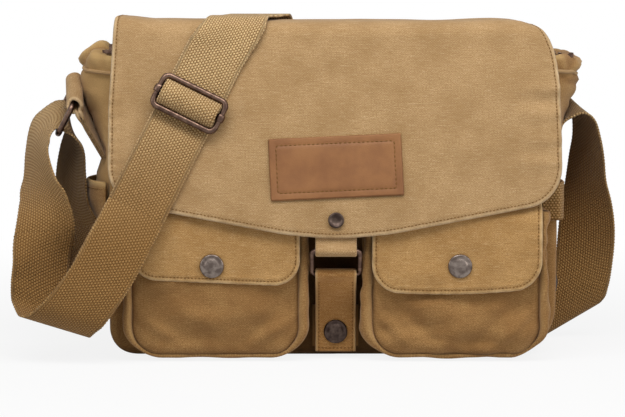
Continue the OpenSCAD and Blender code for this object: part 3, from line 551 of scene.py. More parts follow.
def hem_thick(d):
    """Thickness of a hemmed cloth: doubled near the edge, pressed thin at the very edge."""
    return 2.0 + 0.45 * smooth((5.2 - d) / 1.2) - 0.25 * bump(d, HEM, 0.9) - 0.7 * bump(d, 0, 0.7)


def hem_wear(d, run, seed):
    """Share of the dyed colour worn off a hem: most at the edge, in patches along it, and a little on the
    puckers.
    """
    patches = 0.62 + 0.38 * noise(run / 7, 0.5, seed)
    puckers = 0.2 * np.clip(noise(run / 3.2, 1.5, seed), 0, 1)
    return patches * bump(d, 0, 0.8) + puckers * np.exp(-d / 3.5)


def hem_pucker(run, patch, seeds):
    """Small waves that the stitches draw along a hem, uneven in patches."""
    wave = np.sin(run / 1.3 + 3 * noise(run / patch[0], 0.5, seeds[0]))
    return wave * (0.6 + 0.4 * noise(run / patch[1], 2.5, seeds[1]))


def hem_stitch_line(edge, start, count):
    """Where a hem is sewn: inside the edge of a sheet, from and to a distance start below its seam."""
    half, line = edge[-1, 0], edge[1:-1]
    inside = line + beside(line) * HEM
    return resample(np.vstack([[(HEM - half, start)], inside, [(half - HEM, start)]]), count)


def corner_columns(inner, radius, slope, count, middle):
    """Places across a sheet with rounded corners: close together at the corners, even between them."""
    side = inner + radius * np.sin(np.linspace(slope, math.pi / 2, count))
    return np.concatenate([-side[::-1], np.linspace(-side[0], side[0], middle)[1:-1], side])


# Main flap: a sheet from the seam at the back, over the top and down the front. Its section runs past the hem
FRONT_RUN = 190.0


def flap_profile():
    """Section of the flap: distance from the seam, points and outward directions, and the distance and
    place at which its flat front starts."""
    rear = spline([HINGE, (30.8, 223.2), (22.8, 225.6), (-5, 226.2), (-30, 225.9)], 60)
    angles = np.linspace(math.pi / 2, math.pi - LEAN, 14)
    bend = [BEND_C + BEND_R * np.array([math.cos(a), math.sin(a)]) for a in angles]
    end = bend[-1] + FRONT_RUN * np.array([-math.sin(LEAN), -math.cos(LEAN)])
    line = np.vstack([rear[:-1], bend, np.linspace(bend[-1], end, 90)[1:]])
    s = run_length(line)
    return s, line, beside(line), s[len(rear) + len(bend) - 2], bend[-1]


FLAP_S, FLAP_LINE, FLAP_N, FLAP_S0, FLAP_P0 = flap_profile()


def hem_height(x):
    """Height of the hem: level in the middle, rising to the sides, with rounded corners."""
    a = np.abs(x)
    rise = math.tan(HEM_SLOPE)
    soft = 1.1 * (bump(a, HEM_FLAT, 9) - bump(0, HEM_FLAT, 9))
    z = HEM_Z + rise * np.maximum(0, a - HEM_FLAT) + soft
    centre = HEM_Z + rise * (FLAP_INNER - HEM_FLAT) + FLAP_R / math.cos(HEM_SLOPE)
    arc = centre - np.sqrt(np.maximum(0, FLAP_R**2 - np.clip(a - FLAP_INNER, 0, FLAP_R) ** 2))
    return np.where(a > FLAP_INNER + FLAP_R * math.sin(HEM_SLOPE), arc, z)


def flap_front_s(z):
    """Distance from the rear seam to a height on the flap's front."""
    return FLAP_S0 + (FLAP_P0[1] - z) / math.cos(LEAN)


# Side edges of the flap: distance from the rear seam and half width there, drawn in over the top on the right
FLAP_LEFT = np.array([(0, 138), (40, 144), (60, 146), (80, 146.2), (140, 149.5), (250, 149.5)])
FLAP_RIGHT = np.array([(0, 132), (60, 131.5), (78, 133), (84, 137), (92, 141), (100, 143.8), (110, 145.6),
                       (125, 147.2), (160, 148.2), (250, 148.2)])


def flap_side(x0, s):
    """Real x of a nominal one, where the sides are drawn in."""
    edge = np.where(x0 > 0, np.interp(s, *FLAP_RIGHT.T), np.interp(s, *FLAP_LEFT.T))
    return x0 - np.sign(x0) * (FLAP_HALF - edge) * smooth((np.abs(x0) - 80) / 70)


def flap_edge():
    """Outline of the flap in nominal x and distance from the rear seam: left side, hem and right side."""
    corner = FLAP_INNER + FLAP_R * np.sin(np.linspace(HEM_SLOPE, math.pi / 2, 14))
    x = np.concatenate([-corner[::-1], np.linspace(-127, 127, 70), corner])
    hem = np.stack([x, flap_front_s(hem_height(x))], -1)
    return np.vstack([[(-FLAP_HALF, 0)], hem, [(FLAP_HALF, 0)]])


FLAP_EDGE = flap_edge()


def flap_surface(x0, s, lift=0.0):
    """Middle of the flap's cloth at a nominal x and a distance s from the rear seam."""
    x0, s = np.broadcast_arrays(np.asarray(x0, float), np.asarray(s, float))
    d, run = edge_distance(np.stack([x0, s], -1), FLAP_EDGE)
    y, z = at_run(s, FLAP_S, FLAP_LINE)
    ny, nz = at_run(s, FLAP_S, FLAP_N)
    front = smooth((s - 85) / 30)
    out = lift - 0.35 * bump(d, HEM, 1.1) + 0.6 * hem_pucker(run, (31, 17), (5, 6)) * np.exp(-d / 6.0) * front
    # Broad waves, small waves, tugged folds at the right, and a swell over the left pocket
    out = out + 0.8 * noise(x0 / 62, s / 48, 2) * smooth(d / 30)
    out = out + 0.35 * noise(x0 / 23, s / 17, 3) * smooth(d / 12)
    tug = smooth((x0 - 112) / 34) * smooth((s - 105) / 25) * smooth((195 - s) / 25)
    out = out + 1.8 * tug * noise(x0 / 60 + s / 90, s / 8.5, 8)
    out = out + 0.96 * smooth((s - 190) / 30) * bump(x0, -60, 34)
    # The top sags unevenly between the back and the front
    sag = 1 - smooth((s - 78) / 46)
    drop = 2.5 * smooth((x0 - 132) / 18) ** 2 - 3 * smooth((-x0 - 112) / 38) ** 2 * smooth((s - 20) / 40)
    drop = sag * (drop + 0.7 * (1 + noise(x0 / 38, 0.3, 9)) * smooth((s - 4) / 24))
    return np.stack([flap_side(x0, s), y + ny * out, z + nz * out - drop], -1)


def build_flap():
    x0 = corner_columns(FLAP_INNER, FLAP_R, HEM_SLOPE, 22, 150)
    s = np.linspace(0, 1, 190)[:, None] * flap_front_s(hem_height(x0))[None, :]
    xg = np.broadcast_to(x0, s.shape)
    d, run = edge_distance(np.stack([xg, s], -1), FLAP_EDGE)
    cloth = flap_surface(xg, s)
    flap = shell("main_flap_cloth", cloth, hem_thick(d), CANVAS, flip=True, pale=hem_wear(d, run, 4),
                 normals=on_surface(flap_surface, xg, s, 1.0) - cloth)
    path = hem_stitch_line(FLAP_EDGE, 12, 500)
    stitches = sew("flap_stitches", [on_surface(flap_surface, path[:, 0], path[:, 1], -1.35)])
    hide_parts("main_flap")
    for piece in (flap, stitches):
        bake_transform(piece)


build_flap()


# Bag body: one lofted shell of front, sides, back and bottom, with gathered ears at the mouth
CORNER_LEFT, CORNER_RIGHT, BODY_EDGE, BODY_R = 17.0, 32.0, 5.0, 4.0
BASE_Z = CLOTH / 2
# How far the right side is drawn in below its ear
RIGHT_DRAWN = 3.5
# Height and reach beyond the side seam of each ear, at the middle of the gusset
LEFT_EAR = np.array([(40, 0), (60, 3), (90, 7.5), (105, 10), (115, 10.5), (122, 10.5), (132, 7.5), (138, 5.5),
                     (146, 9), (160, 14.5), (175, 19.5), (185, 21.5), (190, 21.5), (193, 19.5), (199, 20.5),
                     (204, 17.5), (207, 13)])
RIGHT_EAR = np.array([(60, 0), (140, 3), (158, 5.5), (172, 7.5), (180, 12), (186, 16), (190, 12), (195, 15),
                      (199, 14), (202.5, 10.5)])


def gusset_out(profile, b, z):
    """Reach of a gusset beyond its seams, at a share b of the depth and a height z."""
    return np.interp(z, *profile.T) * (1 - np.abs(b) ** 3)


def mouth_drawn(b, z):
    """How far the front corners of the mouth are drawn in."""
    return 7 * smooth((z - 140) / 50) * smooth(-b)


def rounding(radius, z):
    """Outward reach of a quarter round that rises from the bottom cloth, at a height z."""
    return np.sqrt(np.maximum(0, radius**2 - np.maximum(0, radius + BASE_Z - z) ** 2))


def body_columns():
    """Places round the bag: share of the width and of the depth, and the outward direction."""
    cols = []
    for k in range(4):
        start = (k - 1) * math.pi / 2
        for t in np.linspace(-1, 1, 60 if k % 2 else 90):
            cols.append((*((t, -1), (1, t), (-t, 1), (-1, -t))[k], math.cos(start), math.sin(start)))
        for angle in np.linspace(start, start + math.pi / 2, 7)[1:-1]:
            cols.append((*((1, -1), (1, 1), (-1, 1), (-1, -1))[k], math.cos(angle), math.sin(angle)))
    return np.array(cols + cols[:1]).T


def body_top(a, b, middle):
    """Height of the mouth: low in front, high at the back, gathered at the ears."""
    back = np.where(b > 0, smooth((b - 0.6) / 0.4), 0)
    ear_top = np.where(a < 0, LEFT_EAR[-1, 0] - 6 * smooth(-b), RIGHT_EAR[-1, 0])
    back_top = BACK_H - 11 * smooth((np.abs(a) - 0.91) / 0.09)
    top = BODY_H - 4 * smooth((np.abs(a) - 0.8) / 0.2)
    return top + (back_top - top) * back + (ear_top - top) * middle


def body_wall(z, columns, corner, side, middle):
    """One row of the walls at the heights z, and the crests of the gathers in it."""
    a, b, ca, sa = columns
    w = HALF_W - corner + rounding(corner, z) - BASE_Z
    d = BODY_D / 2 - BODY_EDGE - BASE_Z + rounding(BODY_EDGE, z)
    w = w - np.where(a > 0, RIGHT_DRAWN * (1 - smooth((z - 140) / 40)), 0) - mouth_drawn(b, z)
    x, y = a * (w - BODY_R) + BODY_R * ca, b * (d - BODY_R) + BODY_R * sa
    reach = np.where(a < 0, gusset_out(LEFT_EAR, b, z), gusset_out(RIGHT_EAR, b, z))
    gather = np.where(a < 0, y / 2.3 + z / 7, z / 2.3 + y / 9)
    starts = np.where(a < 0, 193, 178)
    crest = np.sin(gather + 3.2 * noise(y / 11, z / 15, 11)) * smooth((z - starts) / 5) * middle
    wave = 1.7 * crest + 1.5 * noise(y / 12 + z / 17, z / 8, 13) * smooth((z - 120) / 60)
    out = side * reach + middle * wave + 0.8 * noise(x / 34 + y / 29, z / 27, 12) * smooth((z - 12) / 30)
    belly = 2.5 * (b > 0) * (1 - side) * np.sin(np.clip(z / BACK_H, 0, 1) * math.pi) * (1 - a**4)
    return np.stack([x + ca * out, y + sa * (out * 0.6 + belly), z], -1), crest


def build_body():
    columns = body_columns()
    a, b, ca, sa = columns
    corner = np.where(a < 0, CORNER_LEFT, CORNER_RIGHT)
    side = ca**2
    middle = side * (1 - np.abs(b) ** 3)
    rows, crests = [], []
    for t in (0.0, 0.3, 0.6, 0.85):
        x = a * (HALF_W - corner - BODY_R - 33 * (1 - t)) + BODY_R * ca * t
        y = (b * (BODY_D / 2 - BODY_EDGE - BODY_R) + BODY_R * sa) * t
        rows.append(np.stack([x, y, np.full(len(a), BASE_Z)], -1))
    bottom_rows = len(rows)
    low, top = corner + BASE_Z, body_top(a, b, middle)
    heights = [BASE_Z + corner * (1 - math.cos(f)) for f in np.linspace(0.15, math.pi / 2, 16)]
    heights += [low + (top - low) * v for v in np.linspace(0, 1, 100)[1:]]
    for z in heights:
        row, crest = body_wall(z, columns, corner, side, middle)
        rows.append(row)
        crests.append(crest)
    # The mouth's edge is turned in, and rolled over at the ears
    rim, turned = rows[-1], np.linspace(0, 1, 10)[1:]
    for t in turned:
        inward = 2.0 * t + 15 * middle * t
        roll = (np.where(a < 0, 3.5, 2.0) + 1.8 * crest) * np.sin(math.pi * t) * (1 - 0.7 * smooth(-b))
        dip = (roll - 7 * t**2 + 1.6 * noise(b * 4 + t, t * 3, 14) * t) * middle - 9 * t * (1 - middle)
        rows.append(rim - np.stack([ca * inward, sa * inward, -dip], -1))
    p = np.stack(rows)
    # Paler crests and painted shade in the hollows of the gathers, painted light on the sides, a worn mouth's
    # edge, and painted shade in the slot between the pockets
    pale = np.zeros(p.shape[:2])
    # The gathers are paler on their crests and darker in their hollows, painted shade
    pale[bottom_rows:] = 0.45 * np.array(crests + [crest] * len(turned))
    # Painted light: the sides are lighter from 60 mm up, much more on the left than on the right
    pale += np.where(a < 0, 0.7, 0.2) * side * smooth((p[..., 2] - 60) / 60)
    pale[-len(turned) - 2:-len(turned) + 1] += 0.8 * (1 - middle)
    # Painted shade: the front between the pockets is darkened below 105 mm
    pale -= 0.65 * smooth((32 - np.abs(p[..., 0])) / 8) * smooth((105 - p[..., 2]) / 25) * (p[..., 1] < -20)
    body = shell("bag_body", p, CLOTH, CANVAS_BODY, pale=pale, inner=LINING, wrap=True)
    fit(body, "canvas", "bag", "front_panel", "back_panel", "left_gusset", "right_gusset", "bottom_panel",
        "lining")


def build_binding(name, side, seed, profile, height, slope):
    """The piped seam across a gusset, below its ear."""
    y = np.linspace(-36, 34, 60)
    z = height + slope * (y + 36) / 70 + 0.8 * noise(y / 9, 0.5, seed)
    x = HALF_W - 0.4 + gusset_out(profile, y / HALF_D, z) - mouth_drawn(y / HALF_D, z)
    cord = tube(f"{name}_gusset_binding", np.stack([side * x, y, z], -1), 1.25, CANVAS, sides=10)
    fit(cord, "canvas", "bag")


build_body()
build_binding("left", -1, 15, LEFT_EAR, 190.5, 5)
build_binding("right", 1, 16, RIGHT_EAR, 193, -7)


# Pockets: a puffed front panel sewn into a bellows gusset, whose front fold stands proud of the seam
POCKET_X, POCKET_TOP, GUSSET_TOP = 80.0, 78.0, 100.0
SEAM_HALF, SEAM_R, SEAM_LOW, SEAM_Y = 56.0, 19.0, 4.6, -58.8
# Section of the gusset from the seam back to the bag: outward reach, y
BELLOWS = [(0, SEAM_Y), (0.2, -62.0), (1.9, -65.0), (4.2, -64.6), (5.5, -62.2), (5.3, -59), (2.6, -55.2),
           (0.6, -52.6), (2.2, -49.8), (4.6, -46.6), (4.4, -42.5), (2.2, -39.6)]
# Folds worn into each pocket's front: two ends from the middle of the pocket, then width and depth
LEFT_FOLDS = [(24, 12, 52, 30, 3.5, 2.2), (14, 9, 46, 40, 5, -1.5), (-50, 30, -22, 12, 4, 1.6),
              (-30, 40, 10, 20, 6, 1.4)]
RIGHT_FOLDS = [(26, 10, 50, 34, 3.5, 2.4), (10, 12, 44, 42, 5, -1.8), (-52, 34, -30, 10, 4, 2.2),
               (-44, 44, -14, 14, 5, -1.6), (-8, 10, 6, 30, 5, 1.5)]


def corner_rise(x, half, radius):
    """Height of a sheet's rounded lower corner above its bottom edge."""
    past = np.clip(np.abs(x) - half + radius, 0, radius)
    return radius - np.sqrt(np.maximum(0, radius**2 - past**2))


def seam_line(top):
    """The pocket's seam: down the left side, round the bottom and up the right side."""
    arc = np.linspace(-math.pi / 2, 0, 14)
    x, z = SEAM_HALF - SEAM_R + SEAM_R * np.cos(arc), SEAM_LOW + SEAM_R + SEAM_R * np.sin(arc)
    right = np.vstack([np.stack([x, z], -1), [(SEAM_HALF, top)]])
    return np.vstack([right[::-1] * [-1, 1], right])


def fold_depth(x, z, folds):
    """Height of a pocket's folds, each a soft ridge or hollow that fades at both ends."""
    points = np.stack([x, z], -1)
    out = np.zeros(x.shape)
    for x0, z0, x1, z1, width, height in folds:
        d, run = edge_distance(points, np.array([(x0, z0), (x1, z1)], float))
        length = math.hypot(x1 - x0, z1 - z0)
        out = out + height * bump(d, 0, width) * np.sin(math.pi * np.clip(0.1 + 0.8 * run / length, 0, 1))
    return out


def pocket_front(name, side, seed, rough, folds):
    """The puffed panel, with broad creases, small creases near the seam, worn folds and a drawn seam."""
    x = corner_columns(SEAM_HALF - SEAM_R, SEAM_R, 0.0, 20, 80)
    low = SEAM_LOW + corner_rise(x, SEAM_HALF, SEAM_R)
    z = low[None] + np.linspace(0, 1, 90)[:, None] * (POCKET_TOP - low)[None]
    xg = np.broadcast_to(x, z.shape)
    d, run = edge_distance(np.stack([xg, z], -1), seam_line(POCKET_TOP))
    puff = 3.6 * smooth(d / 32) + 4.4 * (1 - np.exp(-d / 1.7))
    crease = 1.9 * noise(xg / 34 + z / 26, z / 10 - xg / 60, seed) * smooth(d / 9)
    crease = crease + 0.9 * noise(xg / 11 + z / 30, z / 15 - xg / 26, seed + 1) * np.exp(-d / 16)
    crease = crease + fold_depth(xg, z, folds) * smooth(d / 6) / rough
    pull = np.sin(run / 2.4 + 2 * noise(run / 21, 0.5, seed + 2)) * np.exp(-d / 6) * (1 - np.exp(-d / 1.5))
    pull = 0.45 * pull * (0.5 + 0.5 * noise(run / 15, 3.5, seed))
    y = SEAM_Y - puff - rough * crease - pull
    # Painted shade: the cloth is darkened along its seam, where the groove is shaded.
    return shell(f"{name}_pocket_cloth", np.stack([xg + side * POCKET_X, y, z], -1), 2.0, CANVAS_BODY,
                 pale=-0.85 * bump(d, 0, 1.7))


def pocket_gusset(name, side, seed, rough):
    """The bellows strip round the pocket, tucked under it at the bottom, with painted shade on its seam and
    inner fold.
    """
    path = resample(seam_line(GUSSET_TOP), 220)
    section = spline(BELLOWS, 44)
    outward = beside(path)
    t = np.linspace(0, 1, len(section))[:, None]
    along = np.arange(len(path))[None]
    deep = np.sin(math.pi * t)
    tuck = smooth(-outward[None, :, 1])
    under = 1 - 0.75 * tuck - 0.25 * np.clip(side * outward[None, :, 0], 0, 1)
    fold = 1.5 * noise(t * 4, along / 13, seed + 5) + 0.9 * noise(t * 6, along / 6, seed + 6)
    reach = section[:, :1] * under + rough * fold * deep * (1 - 0.7 * tuck)
    y = section[:, 1:] + rough * 1.2 * noise(t * 3, along / 10, seed + 7) * deep
    y = y + 3.5 * tuck * bump(t, 0.2, 0.16)
    q = path[None] + outward[None] * reach[..., None]
    pts = np.stack([q[..., 0] + side * POCKET_X, y, np.maximum(q[..., 1], 1.3)], -1)
    # A paler crest on the bead, and painted shade darkening the seam and the inner fold.
    pale = 0.4 * bump(t, 0.15, 0.05) - 0.85 * bump(t, 0, 0.05) - 0.7 * bump(t, 0.55, 0.07)
    return shell(f"{name}_pocket_gusset_cloth", pts, 1.8, CANVAS_BODY, flip=True,
                 pale=np.broadcast_to(pale, reach.shape))


def build_pocket(name, side, seed, rough, folds):
    fit(pocket_front(name, side, seed, rough, folds), "canvas", "bag", f"{name}_pocket_front")
    fit(pocket_gusset(name, side, seed, rough), "canvas", "bag", f"{name}_pocket_gusset")


build_pocket("left", -1, 40, 0.8, LEFT_FOLDS)
build_pocket("right", 1, 60, 1.7, RIGHT_FOLDS)


# Pocket flaps: sewn high under the main flap, bent over the pocket and hanging with a rounded hem
PFLAP_Y, PFLAP_HALF, PFLAP_R = -68.6, 55.4, 17.0
PFLAP_LINE = spline([(-39.4, 124), (-39.6, 117), (-50, 111.5), (-61, 106.5), (-67.4, 99), (PFLAP_Y, 88),
                     (PFLAP_Y, 70), (-67.6, 40)], 160)
PFLAP_S, PFLAP_N = run_length(PFLAP_LINE), beside(PFLAP_LINE)
SNAP_X, SNAP_Z = 82.0, 65.0


def build_pocket_flap(name, side, seed, hem, tilt, bow):
    """hem is the height of the hem, tilt its rise to the right end, bow its sag in the middle."""

    def hem_s(x):
        share = x / PFLAP_HALF
        z = hem + tilt * share - bow * (1 - share**2) + corner_rise(x, PFLAP_HALF, PFLAP_R)
        return np.interp(-z, -PFLAP_LINE[:, 1], PFLAP_S)

    x0 = corner_columns(PFLAP_HALF - PFLAP_R, PFLAP_R, 0.0, 18, 72)
    edge = np.vstack([[(-PFLAP_HALF, 0.0)], np.stack([x0, hem_s(x0)], -1), [(PFLAP_HALF, 0.0)]])

    def surface(x, s):
        x, s = np.broadcast_arrays(np.asarray(x, float), np.asarray(s, float))
        d, run = edge_distance(np.stack([x, s], -1), edge)
        y, z = at_run(s, PFLAP_S, PFLAP_LINE)
        ny, nz = at_run(s, PFLAP_S, PFLAP_N)
        out = 0.55 * hem_pucker(run, (27, 14), (seed, seed)) * np.exp(-d / 6) - 0.35 * bump(d, HEM, 1.0)
        out = out + 0.8 * noise(x / 36, s / 22, seed + 1) * smooth(d / 14)
        out = out + 0.3 * noise(x / 13, s / 9, seed + 2)
        pressed = bump(np.hypot(x - side * (SNAP_X - POCKET_X), z - SNAP_Z), 0, 13)
        out = out - 0.9 * pressed + 0.8 * smooth((s - 45) / 20)
        return np.stack([x + side * POCKET_X, y + ny * out, z + nz * out], -1)

    s = np.linspace(0, 1, 110)[:, None] * hem_s(x0)[None]
    xg = np.broadcast_to(x0, s.shape)
    d, run = edge_distance(np.stack([xg, s], -1), edge)
    sheet = surface(xg, s)
    cloth = shell(f"{name}_pocket_flap_cloth", sheet, hem_thick(d), CANVAS_POCKET, flip=True,
                  pale=hem_wear(d, run, seed), normals=on_surface(surface, xg, s, 1.0) - sheet)
    path = hem_stitch_line(edge, 8, 260)
    thread = sew(f"{name}_pocket_flap_stitches", [on_surface(surface, path[:, 0], path[:, 1], -1.3)])
    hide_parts(f"{name}_pocket_flap", f"{name}_flap_strip")
    for piece in (cloth, thread):
        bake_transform(piece)


build_pocket_flap("left", -1, 80, 54.6, -2.3, 0.2)
build_pocket_flap("right", 1, 90, 50.0, 1.0, 3.0)


# Frames of the flap's face, the ring tab and the slide buckle
FACE_Y, FACE_Z = -48.935, 216.432
FRONT_N = np.array([0, -math.cos(LEAN), math.sin(LEAN)])
FRONT_D = np.array([0, -math.sin(LEAN), -math.cos(LEAN)])


def flap_point(x, z, n):
    """A place on the flap's front face, lifted by n."""
    return np.array([x, FACE_Y - (FACE_Z - z) * math.tan(LEAN), z]) + n * FRONT_N


def turn(axis, degrees):
    """Rotation about the x or y axis."""
    c, s = math.cos(math.radians(degrees)), math.sin(math.radians(degrees))
    if axis == "x":
        return np.array([[1, 0, 0], [0, c, -s], [0, s, c]])
    return np.array([[c, 0, s], [0, 1, 0], [-s, 0, c]])


# Leather patch, sewn on the flap
PATCH_HALF, PATCH_HIGH, PATCH_Z, PATCH_TURN = 43.0, 19.75, 130.0, math.radians(2.7)


def build_patch():
    def places(half, rim, count):
        inner = half - rim - 0.6
        return np.concatenate([[-half, rim - half], np.linspace(-inner, inner, count), [half - rim, half]])

    px, pz = np.meshgrid(places(PATCH_HALF, 0.4, 84), places(PATCH_HIGH, 0.35, 40)[::-1])
    d = np.minimum(PATCH_HALF - np.abs(px), PATCH_HIGH - np.abs(pz))
    c, s = math.cos(PATCH_TURN), math.sin(PATCH_TURN)

    def surface(a, b, lift):
        return flap_surface(a * c - b * s, flap_front_s(PATCH_Z) - (a * s + b * c), lift)

    lift = 2.1 - 0.4 * bump(d, 4.0, 1.0) + 0.25 * smooth(d / 8)
    patch = shell("leather_patch_sewn", surface(px, pz, lift), 1.7, LEATHER, flip=True)
    loop = rounded_loop(2 * PATCH_HALF - 8, 2 * PATCH_HIGH - 8, 1.5, 4)
    loop = resample(np.vstack([loop, loop[:1]]), 160)
    thread = sew("patch_stitches", [surface(loop[:, 0], loop[:, 1], 2.85)], 3.0, 2.2)
    fit(patch, "leather", "flap", "leather_patch")
    fit(thread, "leather", "flap")


build_patch()


# Closing tab, ring and strap
RING_PIN, RING_DIR = np.array([0, -73.354, 75.343]), np.array([0, 0.535, -0.845])
RING_W, RING_H, RING_R, RING_WIRE = 31.7, 19.0, 2.6, 1.75
STRAP_PIN = np.array([0, -63.182, 59.295])
# Tab and strap are a little narrower than the straight part of the ring, so that it can swing
CLOSURE_W, CLOSURE_T, CLOSURE_GAP, CLOSURE_SEAM = 25.8, 1.5, 0.8, 11.2
# How the strap hangs below the ring and lies on the bag: y and z
CLOSURE_LINE = [(-58.5, 50), (-51.5, 40), (-47.2, 32), (-46.3, 24), (-46.2, 15), (-46.2, 5)]


def folded_band(pin, down, out, run_front, run_back):
    """A strip doubled round a wire at pin: up its back, round the wire and along run_front."""
    r = 2.05 + CLOSURE_T / 2
    turned = [pin + r * (math.cos(a) * out + math.sin(a) * down) for a in np.linspace(math.pi, 0, 9)]
    return [(p, X_WIDE) for p in list(run_back) + turned + list(run_front)]


def closing_tab():
    front, rear = [[RING_PIN - FRONT_D * h + FRONT_N * gap for h in (5, 12, 22, 34)]
                   for gap in (CLOSURE_GAP, -CLOSURE_GAP)]
    route = folded_band(RING_PIN, FRONT_D, FRONT_N, front, rear[::-1])
    return shell("closure_tab_cloth", band(route, CLOSURE_W, columns=15), CLOSURE_T, CANVAS)


def closing_strap():
    """The doubled strap, and its stitches along both sides and the lower end."""
    line = spline([STRAP_PIN[1:], *CLOSURE_LINE], 40)
    n = beside(line)
    front, rear = [[np.array([0, *p]) for p in (line + gap * n)[4:]] for gap in (CLOSURE_GAP, -CLOSURE_GAP)]
    route = folded_band(STRAP_PIN, -RING_DIR, np.array([0, *n[0]]), front, rear[::-1])
    grid = band(route, CLOSURE_W, columns=21)
    edge = CLOSURE_W / 2 * (1 - np.abs(np.linspace(-1, 1, 21)[None]))
    pale = np.broadcast_to(bump(edge, 0, 0.8), grid.shape[:2])
    strap = shell("closure_strap_cloth", grid, 1.6, CANVAS_STRAP, pale=pale)
    seams = np.linspace(-CLOSURE_SEAM, CLOSURE_SEAM, 12)
    lines = [[p + np.array([x, *(0.95 * m)]) for p, m in zip(front, n[4:])] for x in seams[[0, -1]]]
    lines.append([front[-1] + np.array([x, -0.95, 1.8]) for x in seams])
    return strap, sew("closure_stitches", lines)


def closing_ring():
    loop = rounded_loop(RING_W, RING_H, RING_R, 8)
    wire = [RING_PIN + RING_DIR * (RING_H / 2 + b) + np.array([a, 0, 0]) for a, b in loop]
    return tube("closure_ring_wire", wire, RING_WIRE, METAL, closed=True)


fit(closing_tab(), "canvas", "flap", "closure_tab")
strap, strap_thread = closing_strap()
fit(strap, "canvas", "closure_strap", "closure_strap")
fit(strap_thread, "canvas", "closure_strap")
fit(closing_ring(), "metal", "closure_ring", "closure_ring")

# Snaps and the rivet: turned caps with a rolled rim
CAP_R, CAP_H, FACING = 8.0, 2.9, (0.0, -1.0, 0.0)
CAP = [(0.05, 0.0), (CAP_R - 0.9, 0.0), (CAP_R - 0.25, 0.25), (CAP_R, 0.8), (CAP_R - 0.15, 1.35),
       (CAP_R - 0.7, 1.8), (CAP_R - 1.5, 1.85), (CAP_R - 2.1, 1.6), (CAP_R - 2.5, 1.62),
       (CAP_R - 3.4, CAP_H - 0.55), (CAP_R * 0.35, CAP_H - 0.08), (0.05, CAP_H)]
RIVET = [(0.05, 0), (4.9, 0.0), (5.25, 0.5), (4.9, 1.3), (4.1, 1.5), (3.5, 1.1), (3.1, 0.7), (0.05, 0.75)]


CLOSURE_SNAP, SIDE_SNAP = (0, -47.9, 18), (HALF_W + 0.2 - RIGHT_DRAWN, -12, 47)
RIVET_AT = flap_point(0, HEM_Z, 0.6) - FRONT_D * 11


def turned_metal(node, owner, place, axis, mat, profile=CAP):
    fit(lathe(node + "_turned", profile, place, axis, mat), "metal", owner, node)


for side, name in ((-1, "left"), (1, "right")):
    place = (side * SNAP_X, PFLAP_Y - 0.6, SNAP_Z)
    turned_metal(f"{name}_snap_cap", f"{name}_pocket_flap", place, FACING, SNAP_METAL)
turned_metal("closure_snap_cap", "closure_strap", CLOSURE_SNAP, FACING, DARK_METAL)
turned_metal("side_snap", "bag", SIDE_SNAP, X_WIDE, DARK_METAL)
turned_metal("tab_rivet", "flap", RIVET_AT, FRONT_N, DARK_METAL, RIVET)

# Slide buckle: a wire frame, a middle bar with wrapped ends, and the webbing end looped round the bar.
# Heights above the flap: the frame, the lower and upper layer of the strap, and the hump over the bar
BUCKLE_N, LOW_N, HIGH_N, HUMP_N = 6.2, 1.05, 2.6, 10.95
FRAME_W, FRAME_H, FRAME_R, FRAME_WIRE, BAR_WIRE = 45.0, 22.0, 4.0, 2.0, 1.9
BAR_LOOP_R, BAR_LOOP_T, BAR_LOOP_W = 2.35, 0.85, 34.0
# Section of a bar end along the frame: place and radius
BAR_END = [(-2.6, 2.5), (-2.2, 3.0), (-1, 3.15), (0, 3.2), (1, 3.15), (2.2, 3.0), (2.6, 2.5)]
BUCKLE_AT = flap_point(*BUCKLE, BUCKLE_N)
STRAP_X = math.cos(STRAP_LEAN) * np.array(X_WIDE) + math.sin(STRAP_LEAN) * FRONT_D
STRAP_Y = np.cross(FRONT_N, STRAP_X)


def in_buckle(a, b, c):
    """A place across the strap, along it and above the frame's middle."""
    return BUCKLE_AT + STRAP_X * a + STRAP_Y * b + FRONT_N * c


def build_buckle():
    loop = [in_buckle(a, b, 0) for a, b in rounded_loop(FRAME_W, FRAME_H, FRAME_R, 9)]
    wire = tube("slider_frame_wire", loop, FRAME_WIRE, METAL, closed=True)
    across = np.linspace(-FRAME_W / 2, FRAME_W / 2, 24)
    bar = tube("slider_bar_wire", [in_buckle(a, 0, 0) for a in across], BAR_WIRE, METAL)
    places, radii = np.array(BAR_END).T
    knobs = [tube(f"slider_bar_end_{k}", [in_buckle(x, b, 0) for b in places], radii, METAL)
             for k, x in enumerate(across[[0, -1]])]
    angles = np.linspace(-0.6 * math.pi, 0.95 * math.pi, 20)
    route = [(in_buckle(0, BAR_LOOP_R * math.sin(a), BAR_LOOP_R * math.cos(a)), STRAP_X) for a in angles]
    bar_loop = shell("slider_loop_webbing", band(route, BAR_LOOP_W), BAR_LOOP_T, WEBBING)
    fit(wire, "metal", "strap_slider", "slider_frame")
    fit(bar, "metal", "strap_slider", "slider_bar")
    fit(bar_loop, "webbing", "strap_slider", "slider_loop")
    for knob in knobs:
        fit(knob, "metal", "strap_slider")


build_buckle()


# Shoulder strap: places along it and the direction of its width there
def on_strap(d, n):
    """A place on the flap at a distance d up the strap from the buckle, and a height n."""
    return in_buckle(0, d, n - BUCKLE_N), STRAP_X


